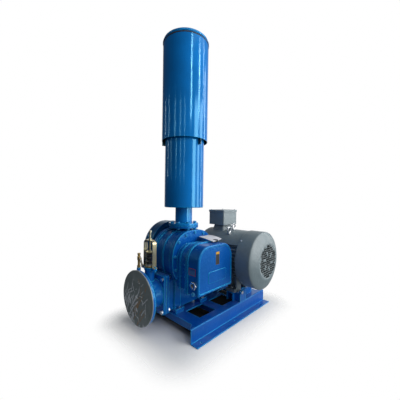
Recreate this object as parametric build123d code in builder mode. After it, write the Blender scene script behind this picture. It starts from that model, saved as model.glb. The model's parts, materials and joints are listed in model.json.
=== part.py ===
from build123d import *
import os
from math import acos, cos, hypot, pi, sin

# Roots blower package: a three-lobe blower on a folded steel base, driven by a
# V-belt from an electric motor beside it, with an inlet silencer on top and a
# discharge tee on the left. Millimetres. X runs along the base from the
# discharge to the motor, Y from the gear case to the belt guard, Z up. The
# origin is on the floor, at the centre of the six foundation holes.

os.makedirs("parts", exist_ok=True)

# Base
hole_pitch = 355
left_overhang = 55
right_overhang = 105
base_depth = 500
foot_width = 54
hole_to_web = 30
foundation_hole = 14
deck_height = 90
sheet = 6
corner_cut = 46
end_lip = 44
outer_bend = 8
inner_bend = 2

# Blower
blower_x = -194
blower_y = 65
shaft_height = 450
rotor_spacing = 140
lobes = 3
lobe_gap = 0.5
tip_gap = 0.4
end_gap = 0.4
chamber_length = 180
plate_beside_shafts = 132
plate_above_shafts = 188
side_plate_width = rotor_spacing + 2 * plate_beside_shafts
side_plate_height = 2 * plate_above_shafts
side_plate_corner = 0.44 * side_plate_height
side_plate_thickness = 30
side_plate_rise = 2
casing_inset = 12
rib_proud = 8
rib_width = 14
shaft_diameter = 44
bearing_diameter = 80
bearing_width = 24
running_gap = 0.05
seal_width = 8

# Gear case
gear_case_width = 346
gear_case_below_shafts = 186
gear_case_above_shafts = 116
gear_case_corner = 105
gear_case_depth = 100
gear_case_wall = 10
neck_inset = 12
neck_length = 105
case_flange = 12
gear_teeth = 28
gear_width = 36
slinger_diameter = 182
slinger_thickness = 4

# Silencer
inlet_flange_diameter = 220
inlet_flange_thickness = 16
inlet_bolt_circle = 180
neck_rise = 24
flange_hole = 18
gasket_thickness = 2
inlet_pipe_diameter = 127
pipe_wall = 5
inlet_pipe_length = 148
silencer_diameter = 292
silencer_length = 540
hood_diameter = 342
hood_overlap = 50
hood_length = 728
lid_rise = 22
shell_wall = 3
filter_diameter = 200
filter_headroom = 64

# Discharge
discharge_height = 232
mouth_flange_diameter = 340
mouth_flange_thickness = 22
mouth_bolt_circle = 295
mouth_bolt_hole = 22
mouth_bore = 206
tee_length = 133
tee_diameter = 190
tee_wall = 12
plate_width = 200
plate_height = 250
plate_thickness = 20
plate_bolt_x = 168
plate_bolt_z = 210
duct_diameter = 114
plenum_reach = 211

# Relief valve and gauge cock
branch_offset = 43
branch_diameter = 64
branch_bore = 44
branch_top = 412
seat_height = 10
disc_height = 8
spring_top = 506
yoke_span = 104
yoke_width = 30
yoke_strap = 4
yoke_top = 588
adjuster_top = 648
cock_offset = 96
cock_aside = 46

# Drive
blower_pulley_diameter = 240
motor_pulley_diameter = 180
belt_count = 3
belt_pitch = 19
belt_height = 11
belt_top_width = 17
belt_bottom_width = 10
groove_gap = 0.4
pulley_start = 236
guard_front = 222
guard_depth = 92
guard_wall = 3
guard_left_radius = 196
guard_right_radius = 150
guard_left_x = -178
guard_left_rise = 40

# Motor
motor_x = 204
motor_z = 413
frame_start = -272
frame_end = 120
frame_radius = 166
stator_radius = 150
fin_radius = 190
fin_count = 44
fin_thickness = 5
cover_radius = 212
cover_start = -386
cover_end = -272
cover_cone = 36
grille_radius = 131
grille_hole = 20
grille_pitch = 28
cover_wall = 3
motor_shaft_diameter = 48
motor_core_radius = 80
air_gap = 0.6
shield_thickness = 26
motor_foot_spacing_x = 180
motor_foot_front = -170
motor_foot_rear = 50
foot_length = 62
foot_breadth = 84
foot_thickness = 22
slide_rail_width = 60
slide_rail_wall = 8
slide_rail_start = 80
slide_rail_length = 270
motor_foot_height = 156
box_length = 183
box_width = 158
box_centre_y = 0
box_bottom = 656
box_height = 104
box_wall = 5
box_lid = 18

# Sizes worked out from those above
rail_left = -hole_pitch - left_overhang
rail_right = hole_pitch + right_overhang
web = base_depth / 2
drive_shaft_x = blower_x + rotor_spacing / 2
driven_shaft_x = blower_x - rotor_spacing / 2
chamber_front = blower_y - chamber_length / 2
chamber_back = blower_y + chamber_length / 2
plate_front = chamber_front - side_plate_thickness
plate_back = chamber_back + side_plate_thickness
neck_front = plate_front - neck_length
case_front = neck_front - gear_case_depth
side_plate_centre = shaft_height + side_plate_rise
gear_case_bottom = shaft_height - gear_case_below_shafts
gear_case_top = shaft_height + gear_case_above_shafts
gear_case_height = gear_case_top - gear_case_bottom
inlet_flange_height = side_plate_centre + side_plate_height / 2 - casing_inset + neck_rise
silencer_bottom = inlet_flange_height + inlet_pipe_length
silencer_top = silencer_bottom + silencer_length
hood_bottom = silencer_top - hood_overlap
hood_top = hood_bottom + hood_length
filter_height = hood_top - silencer_top - filter_headroom
rolling_radius = rotor_spacing / 2 / (2 * lobes)
tip_radius = rotor_spacing / 2 + 2 * rolling_radius
bore_radius = tip_radius + tip_gap
shaft_radius = shaft_diameter / 2
foot_offset = 118
pad_height = 26
pad_front = chamber_front - 20
foot_bolt_inset = 15
foot_bolt_hole = 15
foot_bolt_reach = blower_y - pad_front - foot_bolt_inset
feet_bolts = [(blower_x + side * foot_offset, blower_y + turn * foot_bolt_reach)
              for side in (-1, 1) for turn in (-1, 1)]


def facing_front(y):
    """A plane seen from the front: X to the right, Z up, at depth y."""
    return Plane(origin=(0, y, 0), x_dir=(1, 0, 0), z_dir=(0, -1, 0))


def upright(x, y):
    """A plane through an upright axis: radius outwards, Z up."""
    return Plane(origin=(x, y, 0), x_dir=(1, 0, 0), z_dir=(0, -1, 0))


def lying(x, z):
    """A plane through an axis along Y: depth along the axis, radius up."""
    return Plane(origin=(x, 0, z), x_dir=(0, 1, 0), z_dir=(1, 0, 0))


def along_y(x, z):
    """The axis of a shaft that runs along Y."""
    return Axis((x, 0, z), (0, 1, 0))


def polar(radius, angle):
    """A point at an angle in degrees."""
    return (radius * cos(angle * pi / 180), radius * sin(angle * pi / 180))


def hex_bolts(places, across, head, shank, length):
    """Bolts in a group: each plane lies under a head and points out of it."""
    with BuildPart() as group:
        with BuildSketch(*places):
            RegularPolygon(radius=across / 2, side_count=6, major_radius=False)
        extrude(amount=head)
        with BuildSketch(*places):
            Circle(shank / 2)
        extrude(amount=-length)
    return group


def write(piece, name):
    """Label a finished piece and write its own STEP file."""
    piece.part.label = name
    export_step(piece.part, f"parts/{name}.step")


# Base frame: one sheet folded to a hat, with foot flanges and folded end lips
lip_left = rail_left + corner_cut
lip_right = rail_right - corner_cut
deck_openings = [(-193, -124), (46, -121), (222, -60)]
opening_length = 160
opening_width = 128
with BuildPart() as base_frame:
    with BuildSketch(Plane.YZ.offset(rail_left)) as hat:
        with BuildLine():
            Polyline(
                (-web - foot_width, 0), (-web + sheet, 0), (-web + sheet, deck_height - sheet),
                (web - sheet, deck_height - sheet), (web - sheet, 0), (web + foot_width, 0),
                (web + foot_width, sheet), (web, sheet), (web, deck_height),
                (-web, deck_height), (-web, sheet), (-web - foot_width, sheet), close=True)
        make_face()
        outer_corners = ((web, deck_height), (web - sheet, 0))
        inner_corners = ((web, sheet), (web - sheet, deck_height - sheet))
        for corners, bend in ((outer_corners, outer_bend), (inner_corners, inner_bend)):
            bends = [v for v in hat.vertices() for y, z in corners if hypot(abs(v.X) - y, v.Y - z) < 0.1]
            fillet(bends, bend)
    extrude(amount=rail_right - rail_left)
    with BuildSketch(Plane.XY.offset(deck_height)):
        for end, side in ((rail_left, 1), (rail_right, -1)):
            with BuildLine():
                Polyline(
                    (end, -web + outer_bend), (end + side * corner_cut, -web + corner_cut),
                    (end + side * corner_cut, web - corner_cut), (end, web - outer_bend), close=True)
            make_face()
    extrude(amount=-sheet - inner_bend, mode=Mode.SUBTRACT)
    with BuildSketch(Plane.XY.offset(deck_height - end_lip)):
        for x in (lip_left + sheet / 2, lip_right - sheet / 2):
            with Locations((x, 0)):
                Rectangle(sheet, base_depth - 2 * corner_cut)
    extrude(amount=end_lip - sheet)
    with BuildSketch(Plane.XY.offset(deck_height)):
        with Locations(*deck_openings):
            Rectangle(opening_length, opening_width)
    extrude(amount=-sheet, mode=Mode.SUBTRACT)
    with BuildSketch(Plane.XY.offset(deck_height - sheet)):
        with Locations((-90, 0), (rail_right - 150, 0)):
            Rectangle(sheet, base_depth - 2 * sheet)
    extrude(amount=-end_lip)
    with BuildSketch(Plane.XY.offset(deck_height)):
        with Locations(*feet_bolts):
            Circle(foot_bolt_hole / 2)
    extrude(amount=-sheet, mode=Mode.SUBTRACT)
    with Locations((0, 0, sheet)):
        with GridLocations(hole_pitch, base_depth + 2 * hole_to_web, 3, 2):
            Hole(foundation_hole / 2, depth=sheet)
write(base_frame, "base_frame")

# Rotor casing: barrel with two bores, inlet neck on top, discharge box and feet below
casing_width = side_plate_width - 2 * casing_inset
casing_height = side_plate_height - 2 * casing_inset
casing_corner = side_plate_corner - casing_inset
casing_bottom = side_plate_centre - casing_height / 2
casing_top = side_plate_centre + casing_height / 2
port_length = 110
port_width = 100
plenum_bottom = 108
plenum_top = casing_bottom + 70
plenum_right = blower_x + 80
plenum_wall = 12
plenum_depth = 138
mouth_x = blower_x - plenum_reach
pad_length = 78
pad_depth = 67
leg_width = 54
neck_radius = 54
neck_flare = 80
inlet_bore = 100
with BuildPart() as rotor_casing:
    with BuildSketch(facing_front(chamber_front)):
        with Locations((blower_x, side_plate_centre)):
            RectangleRounded(casing_width, casing_height, casing_corner)
    extrude(amount=-chamber_length)
    rib_planes = [facing_front(y) for y in (chamber_front, blower_y - rib_width / 2, chamber_back - rib_width)]
    with BuildSketch(*rib_planes):
        with Locations((blower_x, side_plate_centre)):
            RectangleRounded(casing_width + 2 * rib_proud, casing_height + 2 * rib_proud, casing_corner + rib_proud)
    extrude(amount=-rib_width)
    with BuildSketch(upright(blower_x, blower_y)):
        with BuildLine():
            Polyline(
                (0, casing_top - 30), (neck_flare, casing_top - 30), (neck_flare, casing_top - 2),
                (neck_radius, casing_top + 16), (neck_radius, inlet_flange_height),
                (inlet_flange_diameter / 2, inlet_flange_height),
                (inlet_flange_diameter / 2, inlet_flange_height + inlet_flange_thickness),
                (0, inlet_flange_height + inlet_flange_thickness), close=True)
        make_face()
    revolve(axis=Axis((blower_x, blower_y, 0), (0, 0, 1)))
    with BuildSketch(Plane.XY.offset(plenum_bottom)):
        with Locations(((mouth_x + plenum_right) / 2, blower_y)):
            Rectangle(plenum_right - mouth_x, plenum_depth)
    extrude(amount=plenum_top - plenum_bottom)
    with BuildSketch(Plane.YZ.offset(mouth_x)):
        with Locations((blower_y, discharge_height)):
            RectangleRounded(plate_width, plate_height, 14)
    extrude(amount=-plate_thickness)
    for x, turn in ((blower_x + side * foot_offset, turn) for side in (-1, 1) for turn in (-1, 1)):
        reach = blower_y - pad_front
        with BuildSketch(Plane.XY.offset(deck_height)):
            with Locations((x, blower_y + turn * (reach - pad_depth / 2))):
                RectangleRounded(pad_length, pad_depth, 8)
        extrude(amount=pad_height)
        with BuildSketch(Plane.XY.offset(deck_height)):
            with Locations((x, blower_y + turn * (reach - pad_depth / 2 - foot_bolt_inset))):
                Rectangle(leg_width, pad_depth - 2 * foot_bolt_inset)
        extrude(amount=casing_bottom + 46 - deck_height)
    with BuildSketch(facing_front(chamber_front)):
        with Locations((drive_shaft_x, shaft_height), (driven_shaft_x, shaft_height)):
            Circle(bore_radius)
    extrude(amount=-chamber_length, mode=Mode.SUBTRACT)
    with BuildSketch(Plane.XY.offset(shaft_height)):
        with Locations((blower_x, blower_y)):
            Rectangle(port_width, port_length)
    extrude(amount=casing_top - 12 - shaft_height, mode=Mode.SUBTRACT)
    with BuildSketch(Plane.XY.offset(casing_top - 13)):
        with Locations((blower_x, blower_y)):
            Circle(inlet_bore / 2)
    extrude(amount=inlet_flange_height + inlet_flange_thickness - casing_top + 13, mode=Mode.SUBTRACT)
    with BuildSketch(Plane.XY.offset(plenum_bottom + plenum_wall)):
        with Locations(((mouth_x + plenum_right - plenum_wall) / 2, blower_y)):
            Rectangle(plenum_right - plenum_wall - mouth_x, plenum_depth - 2 * plenum_wall)
    extrude(amount=plenum_top - plenum_bottom - 2 * plenum_wall, mode=Mode.SUBTRACT)
    with BuildSketch(Plane.XY.offset(plenum_top - plenum_wall - 1)):
        with Locations((blower_x, blower_y)):
            Rectangle(port_width, port_length)
    extrude(amount=shaft_height - plenum_top + plenum_wall + 1, mode=Mode.SUBTRACT)
    with BuildSketch(Plane.YZ.offset(mouth_x + 1)):
        with Locations((blower_y, discharge_height)):
            Circle(duct_diameter / 2)
    extrude(amount=-plate_thickness - 1, mode=Mode.SUBTRACT)
    with BuildSketch(Plane.YZ.offset(mouth_x)):
        with Locations((blower_y, discharge_height)):
            with GridLocations(plate_bolt_x, plate_bolt_z, 2, 2):
                Circle(9)
    extrude(amount=-plate_thickness, mode=Mode.SUBTRACT)
    with BuildSketch(Plane.XY.offset(inlet_flange_height)):
        with Locations((blower_x, blower_y)):
            with PolarLocations(inlet_bolt_circle / 2, 8, start_angle=22.5):
                Circle(flange_hole / 2)
    extrude(amount=inlet_flange_thickness, mode=Mode.SUBTRACT)
    with BuildSketch(Plane.XY.offset(deck_height)):
        with Locations(*feet_bolts):
            Circle(foot_bolt_hole / 2)
    extrude(amount=pad_height, mode=Mode.SUBTRACT)
write(rotor_casing, "rotor_casing")


def gear_outline(inset):
    """The gear case seen from the front: flat foot, upright sides, rounded shoulders."""
    with BuildSketch(facing_front(0)) as outline:
        with Locations((blower_x, (gear_case_bottom + gear_case_top) / 2)):
            Rectangle(gear_case_width - 2 * inset, gear_case_top - gear_case_bottom - 2 * inset)
        fillet(outline.vertices().group_by(Axis.Y)[-1], gear_case_corner - inset)
        fillet(outline.vertices().group_by(Axis.Y)[0], 12)
    return outline.sketch


# Bolts of both side plates, round their rims
bolt_across = 17
bolt_head = 8
bolt_shank = 10
bolt_depth = 22
rim_inset = 16
front_angles = (8, 40, 65, 90, 115, 140, 172, 200, 340)
rear_angles = (8, 40, 65, 90, 115, 140, 172, 200, 232, 308, 340)


def rim_point(angle):
    """A point inside the side plate's rim, at an angle round its centre."""
    width = side_plate_width / 2 - side_plate_corner
    height = side_plate_height / 2 - side_plate_corner
    x, z = polar(side_plate_corner - rim_inset, angle)
    lean_x = max(-1, min(1, x / side_plate_corner * 1.6))
    lean_z = max(-1, min(1, z / side_plate_corner * 1.6))
    return (blower_x + x + width * lean_x, side_plate_centre + z + height * lean_z)


front_places = [
    Plane(origin=(x, plate_front, z), x_dir=(1, 0, 0), z_dir=(0, -1, 0))
    for x, z in (rim_point(angle) for angle in front_angles)]
rear_places = [
    Plane(origin=(x, plate_back, z), x_dir=(-1, 0, 0), z_dir=(0, 1, 0))
    for x, z in (rim_point(angle) for angle in rear_angles)]
side_plate_bolts = hex_bolts(front_places + rear_places, bolt_across, bolt_head, bolt_shank, bolt_depth)
write(side_plate_bolts, "side_plate_bolts")

# Bolts that hold the gear case to the neck, from behind the neck's flange
case_bolt_across = 13
case_bolt_shank = 8
case_bolt_depth = 20
case_bolt_inset = 2.5
half_case = gear_case_width / 2 - case_bolt_inset
case_bolt_points = [
    (side * half_case, gear_case_bottom + share * gear_case_height)
    for side in (-1, 1) for share in (0.086, 0.335, 0.583)]
case_bolt_points += [(share * half_case, gear_case_top - case_bolt_inset) for share in (-0.35, 0, 0.35)]
case_bolt_points += [
    (share * half_case, gear_case_bottom + case_bolt_inset) for share in (-0.64, -0.23, 0.23, 0.64)]
case_bolt_places = [
    Plane(origin=(blower_x + x, neck_front + case_flange, z), x_dir=(-1, 0, 0), z_dir=(0, 1, 0))
    for x, z in case_bolt_points]
gear_case_bolts = hex_bolts(case_bolt_places, case_bolt_across, 6, case_bolt_shank, case_bolt_depth)
write(gear_case_bolts, "gear_case_bolts")

# Front side plate, with the neck that carries the front bearings and the gear case
side_bolt_radius = 12
bearing_front = neck_front + 60
flange_lip = 6
with BuildPart() as side_plate_front:
    with BuildSketch(facing_front(plate_front)) as front_outline:
        with Locations((blower_x, side_plate_centre)):
            RectangleRounded(side_plate_width, side_plate_height, side_plate_corner)
    extrude(amount=-side_plate_thickness)
    fillet(side_plate_front.edges().group_by(Axis.Y)[0], 4)
    extrude(gear_outline(neck_inset).moved(Location((0, plate_front, 0))), amount=neck_length)
    extrude(gear_outline(-flange_lip).moved(Location((0, neck_front, 0))), amount=-case_flange)
    extrude(gear_outline(neck_inset - 8).moved(Location((0, bearing_front + 10, 0))), amount=-case_flange)
    extrude(gear_outline(neck_inset + gear_case_wall).moved(Location((0, neck_front, 0))),
            amount=neck_front - bearing_front, mode=Mode.SUBTRACT)
    with BuildSketch(facing_front(bearing_front)):
        with Locations((drive_shaft_x, shaft_height), (driven_shaft_x, shaft_height)):
            Circle(bearing_diameter / 2)
    extrude(amount=-bearing_width, mode=Mode.SUBTRACT)
    with BuildSketch(facing_front(bearing_front + bearing_width)):
        with Locations((drive_shaft_x, shaft_height), (driven_shaft_x, shaft_height)):
            Circle(shaft_radius + 8)
    extrude(amount=-seal_width, mode=Mode.SUBTRACT)
    with BuildSketch(facing_front(bearing_front)):
        with Locations((drive_shaft_x, shaft_height), (driven_shaft_x, shaft_height)):
            Circle(shaft_radius + 0.5)
    extrude(amount=bearing_front - chamber_front, mode=Mode.SUBTRACT)
    with BuildSketch(*front_places):
        Circle(bolt_shank / 2)
    extrude(amount=-bolt_depth, mode=Mode.SUBTRACT)
    with BuildSketch(*case_bolt_places):
        Circle(case_bolt_shank / 2)
    extrude(amount=-case_flange, mode=Mode.SUBTRACT)
write(side_plate_front, "side_plate_front")

# Rear side plate with the two rear bearing seats
with BuildPart() as side_plate_rear:
    with BuildSketch(facing_front(chamber_back)):
        with Locations((blower_x, side_plate_centre)):
            RectangleRounded(side_plate_width, side_plate_height, side_plate_corner)
    extrude(amount=-side_plate_thickness)
    fillet(side_plate_rear.edges().group_by(Axis.Y)[-1], 4)
    with BuildSketch(facing_front(plate_back)):
        with Locations((drive_shaft_x, shaft_height), (driven_shaft_x, shaft_height)):
            Circle(bearing_diameter / 2)
    extrude(amount=bearing_width, mode=Mode.SUBTRACT)
    with BuildSketch(facing_front(plate_back)):
        with Locations((drive_shaft_x, shaft_height), (driven_shaft_x, shaft_height)):
            Circle(shaft_radius + 0.5)
    extrude(amount=side_plate_thickness, mode=Mode.SUBTRACT)
    with BuildSketch(*rear_places):
        Circle(bolt_shank / 2)
    extrude(amount=-bolt_depth, mode=Mode.SUBTRACT)
write(side_plate_rear, "side_plate_rear")

# Gear case: a hollow cover with a raised rim round its face
rim_width = 14
rim_depth = 3
glass_y = neck_front - 63
glass_z = gear_case_bottom + 67
plug_z = gear_case_bottom + 15
filler_x = blower_x + 64
filler_y = neck_front - 35
glass_hole = 30
plug_hole = 16
case_side = blower_x - gear_case_width / 2
with BuildPart() as gear_case:
    extrude(gear_outline(0).moved(Location((0, case_front, 0))), amount=-gear_case_depth)
    fillet(gear_case.edges().group_by(Axis.Y)[0], 9)
    extrude(gear_outline(-flange_lip).moved(Location((0, neck_front - case_flange, 0))), amount=-case_flange)
    extrude(gear_outline(gear_case_wall).moved(Location((0, case_front + gear_case_wall + rim_depth, 0))),
            amount=rim_depth + gear_case_wall - gear_case_depth, mode=Mode.SUBTRACT)
    extrude(gear_outline(rim_width).moved(Location((0, case_front, 0))), amount=-rim_depth, mode=Mode.SUBTRACT)
    with BuildSketch(Plane.YZ.offset(case_side)):
        with Locations((glass_y, glass_z)):
            Circle(glass_hole / 2)
        with Locations((glass_y, plug_z)):
            Circle(plug_hole / 2)
    extrude(amount=gear_case_wall, mode=Mode.SUBTRACT)
    with BuildSketch(Plane.XY.offset(gear_case_top)):
        with Locations((filler_x, filler_y)):
            Circle(plug_hole / 2)
    extrude(amount=-gear_case_wall, mode=Mode.SUBTRACT)
    with BuildSketch(*case_bolt_places):
        Circle(case_bolt_shank / 2)
    extrude(amount=-case_bolt_depth, mode=Mode.SUBTRACT)
write(gear_case, "gear_case")

# Drive end cover over the rear bearings; the left shaft passes out through it
cover_height = 112
cover_depth = 28
with BuildPart() as drive_end_cover:
    with BuildSketch(facing_front(plate_back)):
        with Locations((blower_x, shaft_height)):
            SlotCenterToCenter(rotor_spacing, cover_height)
    extrude(amount=-cover_depth)
    fillet(drive_end_cover.edges().group_by(Axis.Y)[-1], 4)
    with BuildSketch(facing_front(plate_back)):
        with Locations((drive_shaft_x, shaft_height), (driven_shaft_x, shaft_height)):
            Circle(shaft_radius + 6)
    extrude(amount=-cover_depth + seal_width, mode=Mode.SUBTRACT)
    with BuildSketch(facing_front(plate_back)):
        with Locations((drive_shaft_x, shaft_height)):
            Circle(shaft_radius + 8)
    extrude(amount=-cover_depth, mode=Mode.SUBTRACT)
write(drive_end_cover, "drive_end_cover")


def lobe_point(turn):
    """A point of the three-lobe cycloid at a turn from 0 to 1, set in by half the rotor gap."""
    pitch = rotor_spacing / 2
    arch = int(turn * 2 * lobes)
    side = 1 if arch % 2 == 0 else -1
    angle = 2 * pi * turn - pi / (2 * lobes)
    roll = (turn * 2 * lobes - arch) * 2 * pi
    contact = (pitch * cos(angle), pitch * sin(angle))
    centre = (contact[0] * (1 + side * rolling_radius / pitch), contact[1] * (1 + side * rolling_radius / pitch))
    swing = angle + side * roll + (pi if side > 0 else 0)
    point = (centre[0] + rolling_radius * cos(swing), centre[1] + rolling_radius * sin(swing))
    chord = hypot(point[0] - contact[0], point[1] - contact[1])
    shift = side * lobe_gap / 2 / chord
    return (point[0] - shift * (point[0] - contact[0]), point[1] - shift * (point[1] - contact[1]))


def rotor_outline(x, quarter):
    """A rotor's outline about its shaft, turned by a fraction of a lobe."""
    steps = 14 * lobes
    points = [lobe_point((step + 0.5) / steps) for step in range(steps)]
    turn = quarter * 2 * pi / lobes
    spun = [(x + px * cos(turn) - pz * sin(turn), shaft_height + px * sin(turn) + pz * cos(turn)) for px, pz in points]
    with BuildSketch(facing_front(chamber_front + end_gap)) as outline:
        with BuildLine():
            Spline(*spun, periodic=True)
        make_face()
        with Locations((x, shaft_height)):
            Circle(shaft_radius, mode=Mode.SUBTRACT)
    return outline.sketch


# Rotors: a lobe of the left one points at a waist of the right one
with BuildPart() as drive_rotor:
    extrude(rotor_outline(drive_shaft_x, 0), amount=-chamber_length + 2 * end_gap)
write(drive_rotor, "drive_rotor")

with BuildPart() as driven_rotor:
    extrude(rotor_outline(driven_shaft_x, 0), amount=-chamber_length + 2 * end_gap)
write(driven_rotor, "driven_rotor")

# Shafts: the left one is driven by the pulley, the right one by the timing gears
gear_front = bearing_front - 6 - gear_width
slinger_front = gear_front - 26
pulley_length = belt_count * belt_pitch + 7
shaft_end = pulley_start + pulley_length + 2
with BuildPart() as drive_shaft:
    with BuildSketch(facing_front(gear_front - 14)):
        with Locations((drive_shaft_x, shaft_height)):
            Circle(shaft_radius)
    extrude(amount=gear_front - 14 - shaft_end)
    chamfer(drive_shaft.edges(), 1.5)
write(drive_shaft, "drive_shaft")

with BuildPart() as driven_shaft:
    with BuildSketch(facing_front(slinger_front - 8)):
        with Locations((driven_shaft_x, shaft_height)):
            Circle(shaft_radius)
    extrude(amount=slinger_front - 8 - plate_back - 6)
    chamfer(driven_shaft.edges(), 1.5)
write(driven_shaft, "driven_shaft")


def involute(angle):
    """The involute function of a pressure angle in radians."""
    return sin(angle) / cos(angle) - angle


def gear_profile(x, phase):
    """A spur gear's outline with straight-chorded involute flanks."""
    pitch = rotor_spacing / 2
    module = rotor_spacing / gear_teeth
    pressure = pi / 9
    base = pitch * cos(pressure)
    half_tooth = pi / (2 * gear_teeth) - 0.08 / pitch
    radii = (base + 0.1, pitch, pitch + 0.92 * module)
    flank = []
    for radius in radii:
        flank.append((radius, half_tooth + involute(pressure) - involute(acos(base / radius))))
    root = pitch - 1.25 * module
    points = []
    for tooth in range(gear_teeth):
        middle = phase + tooth * 2 * pi / gear_teeth
        points.append((root, middle - flank[0][1] - 0.004))
        points += [(radius, middle - half) for radius, half in flank]
        points += [(radius, middle + half) for radius, half in reversed(flank)]
        points.append((root, middle + flank[0][1] + 0.004))
    with BuildSketch(facing_front(gear_front)) as outline:
        with BuildLine():
            Polyline(*[(x + r * cos(a), shaft_height + r * sin(a)) for r, a in points], close=True)
        make_face()
        with Locations((x, shaft_height)):
            Circle(shaft_radius, mode=Mode.SUBTRACT)
    return outline.sketch


# Timing gears: a tooth of the left one sits in a gap of the right one
with BuildPart() as drive_gear:
    extrude(gear_profile(drive_shaft_x, 0), amount=-gear_width)
write(drive_gear, "drive_gear")

with BuildPart() as driven_gear:
    extrude(gear_profile(driven_shaft_x, pi + pi / gear_teeth), amount=-gear_width)
write(driven_gear, "driven_gear")

# Oil slinger on the right shaft, dipping into the sump
with BuildPart() as oil_slinger:
    with BuildSketch(lying(driven_shaft_x, shaft_height)):
        with BuildLine():
            Polyline(
                (slinger_front, shaft_radius), (slinger_front, slinger_diameter / 2),
                (slinger_front + slinger_thickness, slinger_diameter / 2),
                (slinger_front + slinger_thickness, shaft_radius + 10),
                (gear_front - 2, shaft_radius + 10), (gear_front - 2, shaft_radius), close=True)
        make_face()
    revolve(axis=along_y(driven_shaft_x, shaft_height))
write(oil_slinger, "oil_slinger")

# Bearings: two at each end, grooved between their rings
with BuildPart() as rotor_bearings:
    for x in (drive_shaft_x, driven_shaft_x):
        for start in (bearing_front, plate_back - bearing_width):
            inner = shaft_radius + running_gap
            outer = bearing_diameter / 2
            third = (outer - inner) / 3
            with BuildSketch(lying(x, shaft_height)):
                with BuildLine():
                    Polyline(
                        (start, inner), (start, inner + third), (start + 2, inner + third),
                        (start + 2, outer - third), (start, outer - third), (start, outer),
                        (start + bearing_width, outer), (start + bearing_width, inner), close=True)
                make_face()
            revolve(axis=along_y(x, shaft_height))
write(rotor_bearings, "rotor_bearings")

# Shaft seals: behind the front bearings and in the drive end cover
seal_places = [
    (drive_shaft_x, bearing_front + bearing_width), (driven_shaft_x, bearing_front + bearing_width),
    (drive_shaft_x, plate_back + cover_depth - seal_width)]
with BuildPart() as shaft_seals:
    for x, start in seal_places:
        with BuildSketch(facing_front(start)):
            with Locations((x, shaft_height)):
                Circle(shaft_radius + 8)
                Circle(shaft_radius + running_gap, mode=Mode.SUBTRACT)
        extrude(amount=-seal_width)
write(shaft_seals, "shaft_seals")

# Sight glass: a hexagon bezel screwed into the side of the gear case, and its lens
bezel_across = 46
bezel_depth = 12
lens_thickness = 5
glass_plane = Plane(origin=(case_side, glass_y, glass_z), x_dir=(0, -1, 0), z_dir=(-1, 0, 0))
with BuildPart() as sight_glass_bezel:
    with BuildSketch(glass_plane):
        RegularPolygon(radius=bezel_across / 2, side_count=6, major_radius=False)
    extrude(amount=bezel_depth)
    chamfer(sight_glass_bezel.edges().group_by(Axis.X)[0], 2)
    with BuildSketch(glass_plane):
        Circle(glass_hole / 2)
    extrude(amount=-gear_case_wall)
    with BuildSketch(glass_plane.offset(bezel_depth)):
        Circle(glass_hole / 2 - 1)
    extrude(amount=-bezel_depth + 2, mode=Mode.SUBTRACT)
    with BuildSketch(glass_plane.offset(bezel_depth)):
        Circle(glass_hole / 2 - 4)
    extrude(amount=-bezel_depth - gear_case_wall, mode=Mode.SUBTRACT)
write(sight_glass_bezel, "sight_glass_bezel")

with BuildPart() as sight_glass_lens:
    with BuildSketch(glass_plane.offset(2)):
        Circle(glass_hole / 2 - 1)
    extrude(amount=lens_thickness)
write(sight_glass_lens, "sight_glass_lens")

# Oil plugs: a hexagon drain plug below the glass, a knurled filler plug on top
drain_plane = Plane(origin=(case_side, glass_y, plug_z), x_dir=(0, -1, 0), z_dir=(-1, 0, 0))
oil_drain_plug = hex_bolts([drain_plane], 22, 9, plug_hole, gear_case_wall)
write(oil_drain_plug, "oil_drain_plug")

filler_head = 34
filler_rise = 16
with BuildPart() as oil_filler_plug:
    with BuildSketch(Plane.XY.offset(gear_case_top)):
        with Locations((filler_x, filler_y)):
            Circle(filler_head / 2)
            with PolarLocations(filler_head / 2, 10):
                Circle(2.2, mode=Mode.SUBTRACT)
    extrude(amount=filler_rise)
    with BuildSketch(Plane.XY.offset(gear_case_top)):
        with Locations((filler_x, filler_y)):
            Circle(plug_hole / 2)
    extrude(amount=-gear_case_wall)
write(oil_filler_plug, "oil_filler_plug")

# Bolts and nuts that hold the blower's feet to the deck
foot_bolt_across = 19
foot_bolt_shank = 14
feet_places = [Plane(origin=(x, y, deck_height + pad_height)) for x, y in feet_bolts]
nut_height = 10
with BuildPart() as blower_foot_bolts:
    add(hex_bolts(feet_places, foot_bolt_across, 9, foot_bolt_shank, pad_height + sheet + nut_height + 4).part)
    with BuildSketch(*[place.offset(-pad_height - sheet) for place in feet_places]):
        RegularPolygon(radius=foot_bolt_across / 2, side_count=6, major_radius=False)
    extrude(amount=-nut_height)
write(blower_foot_bolts, "blower_foot_bolts")

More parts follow.
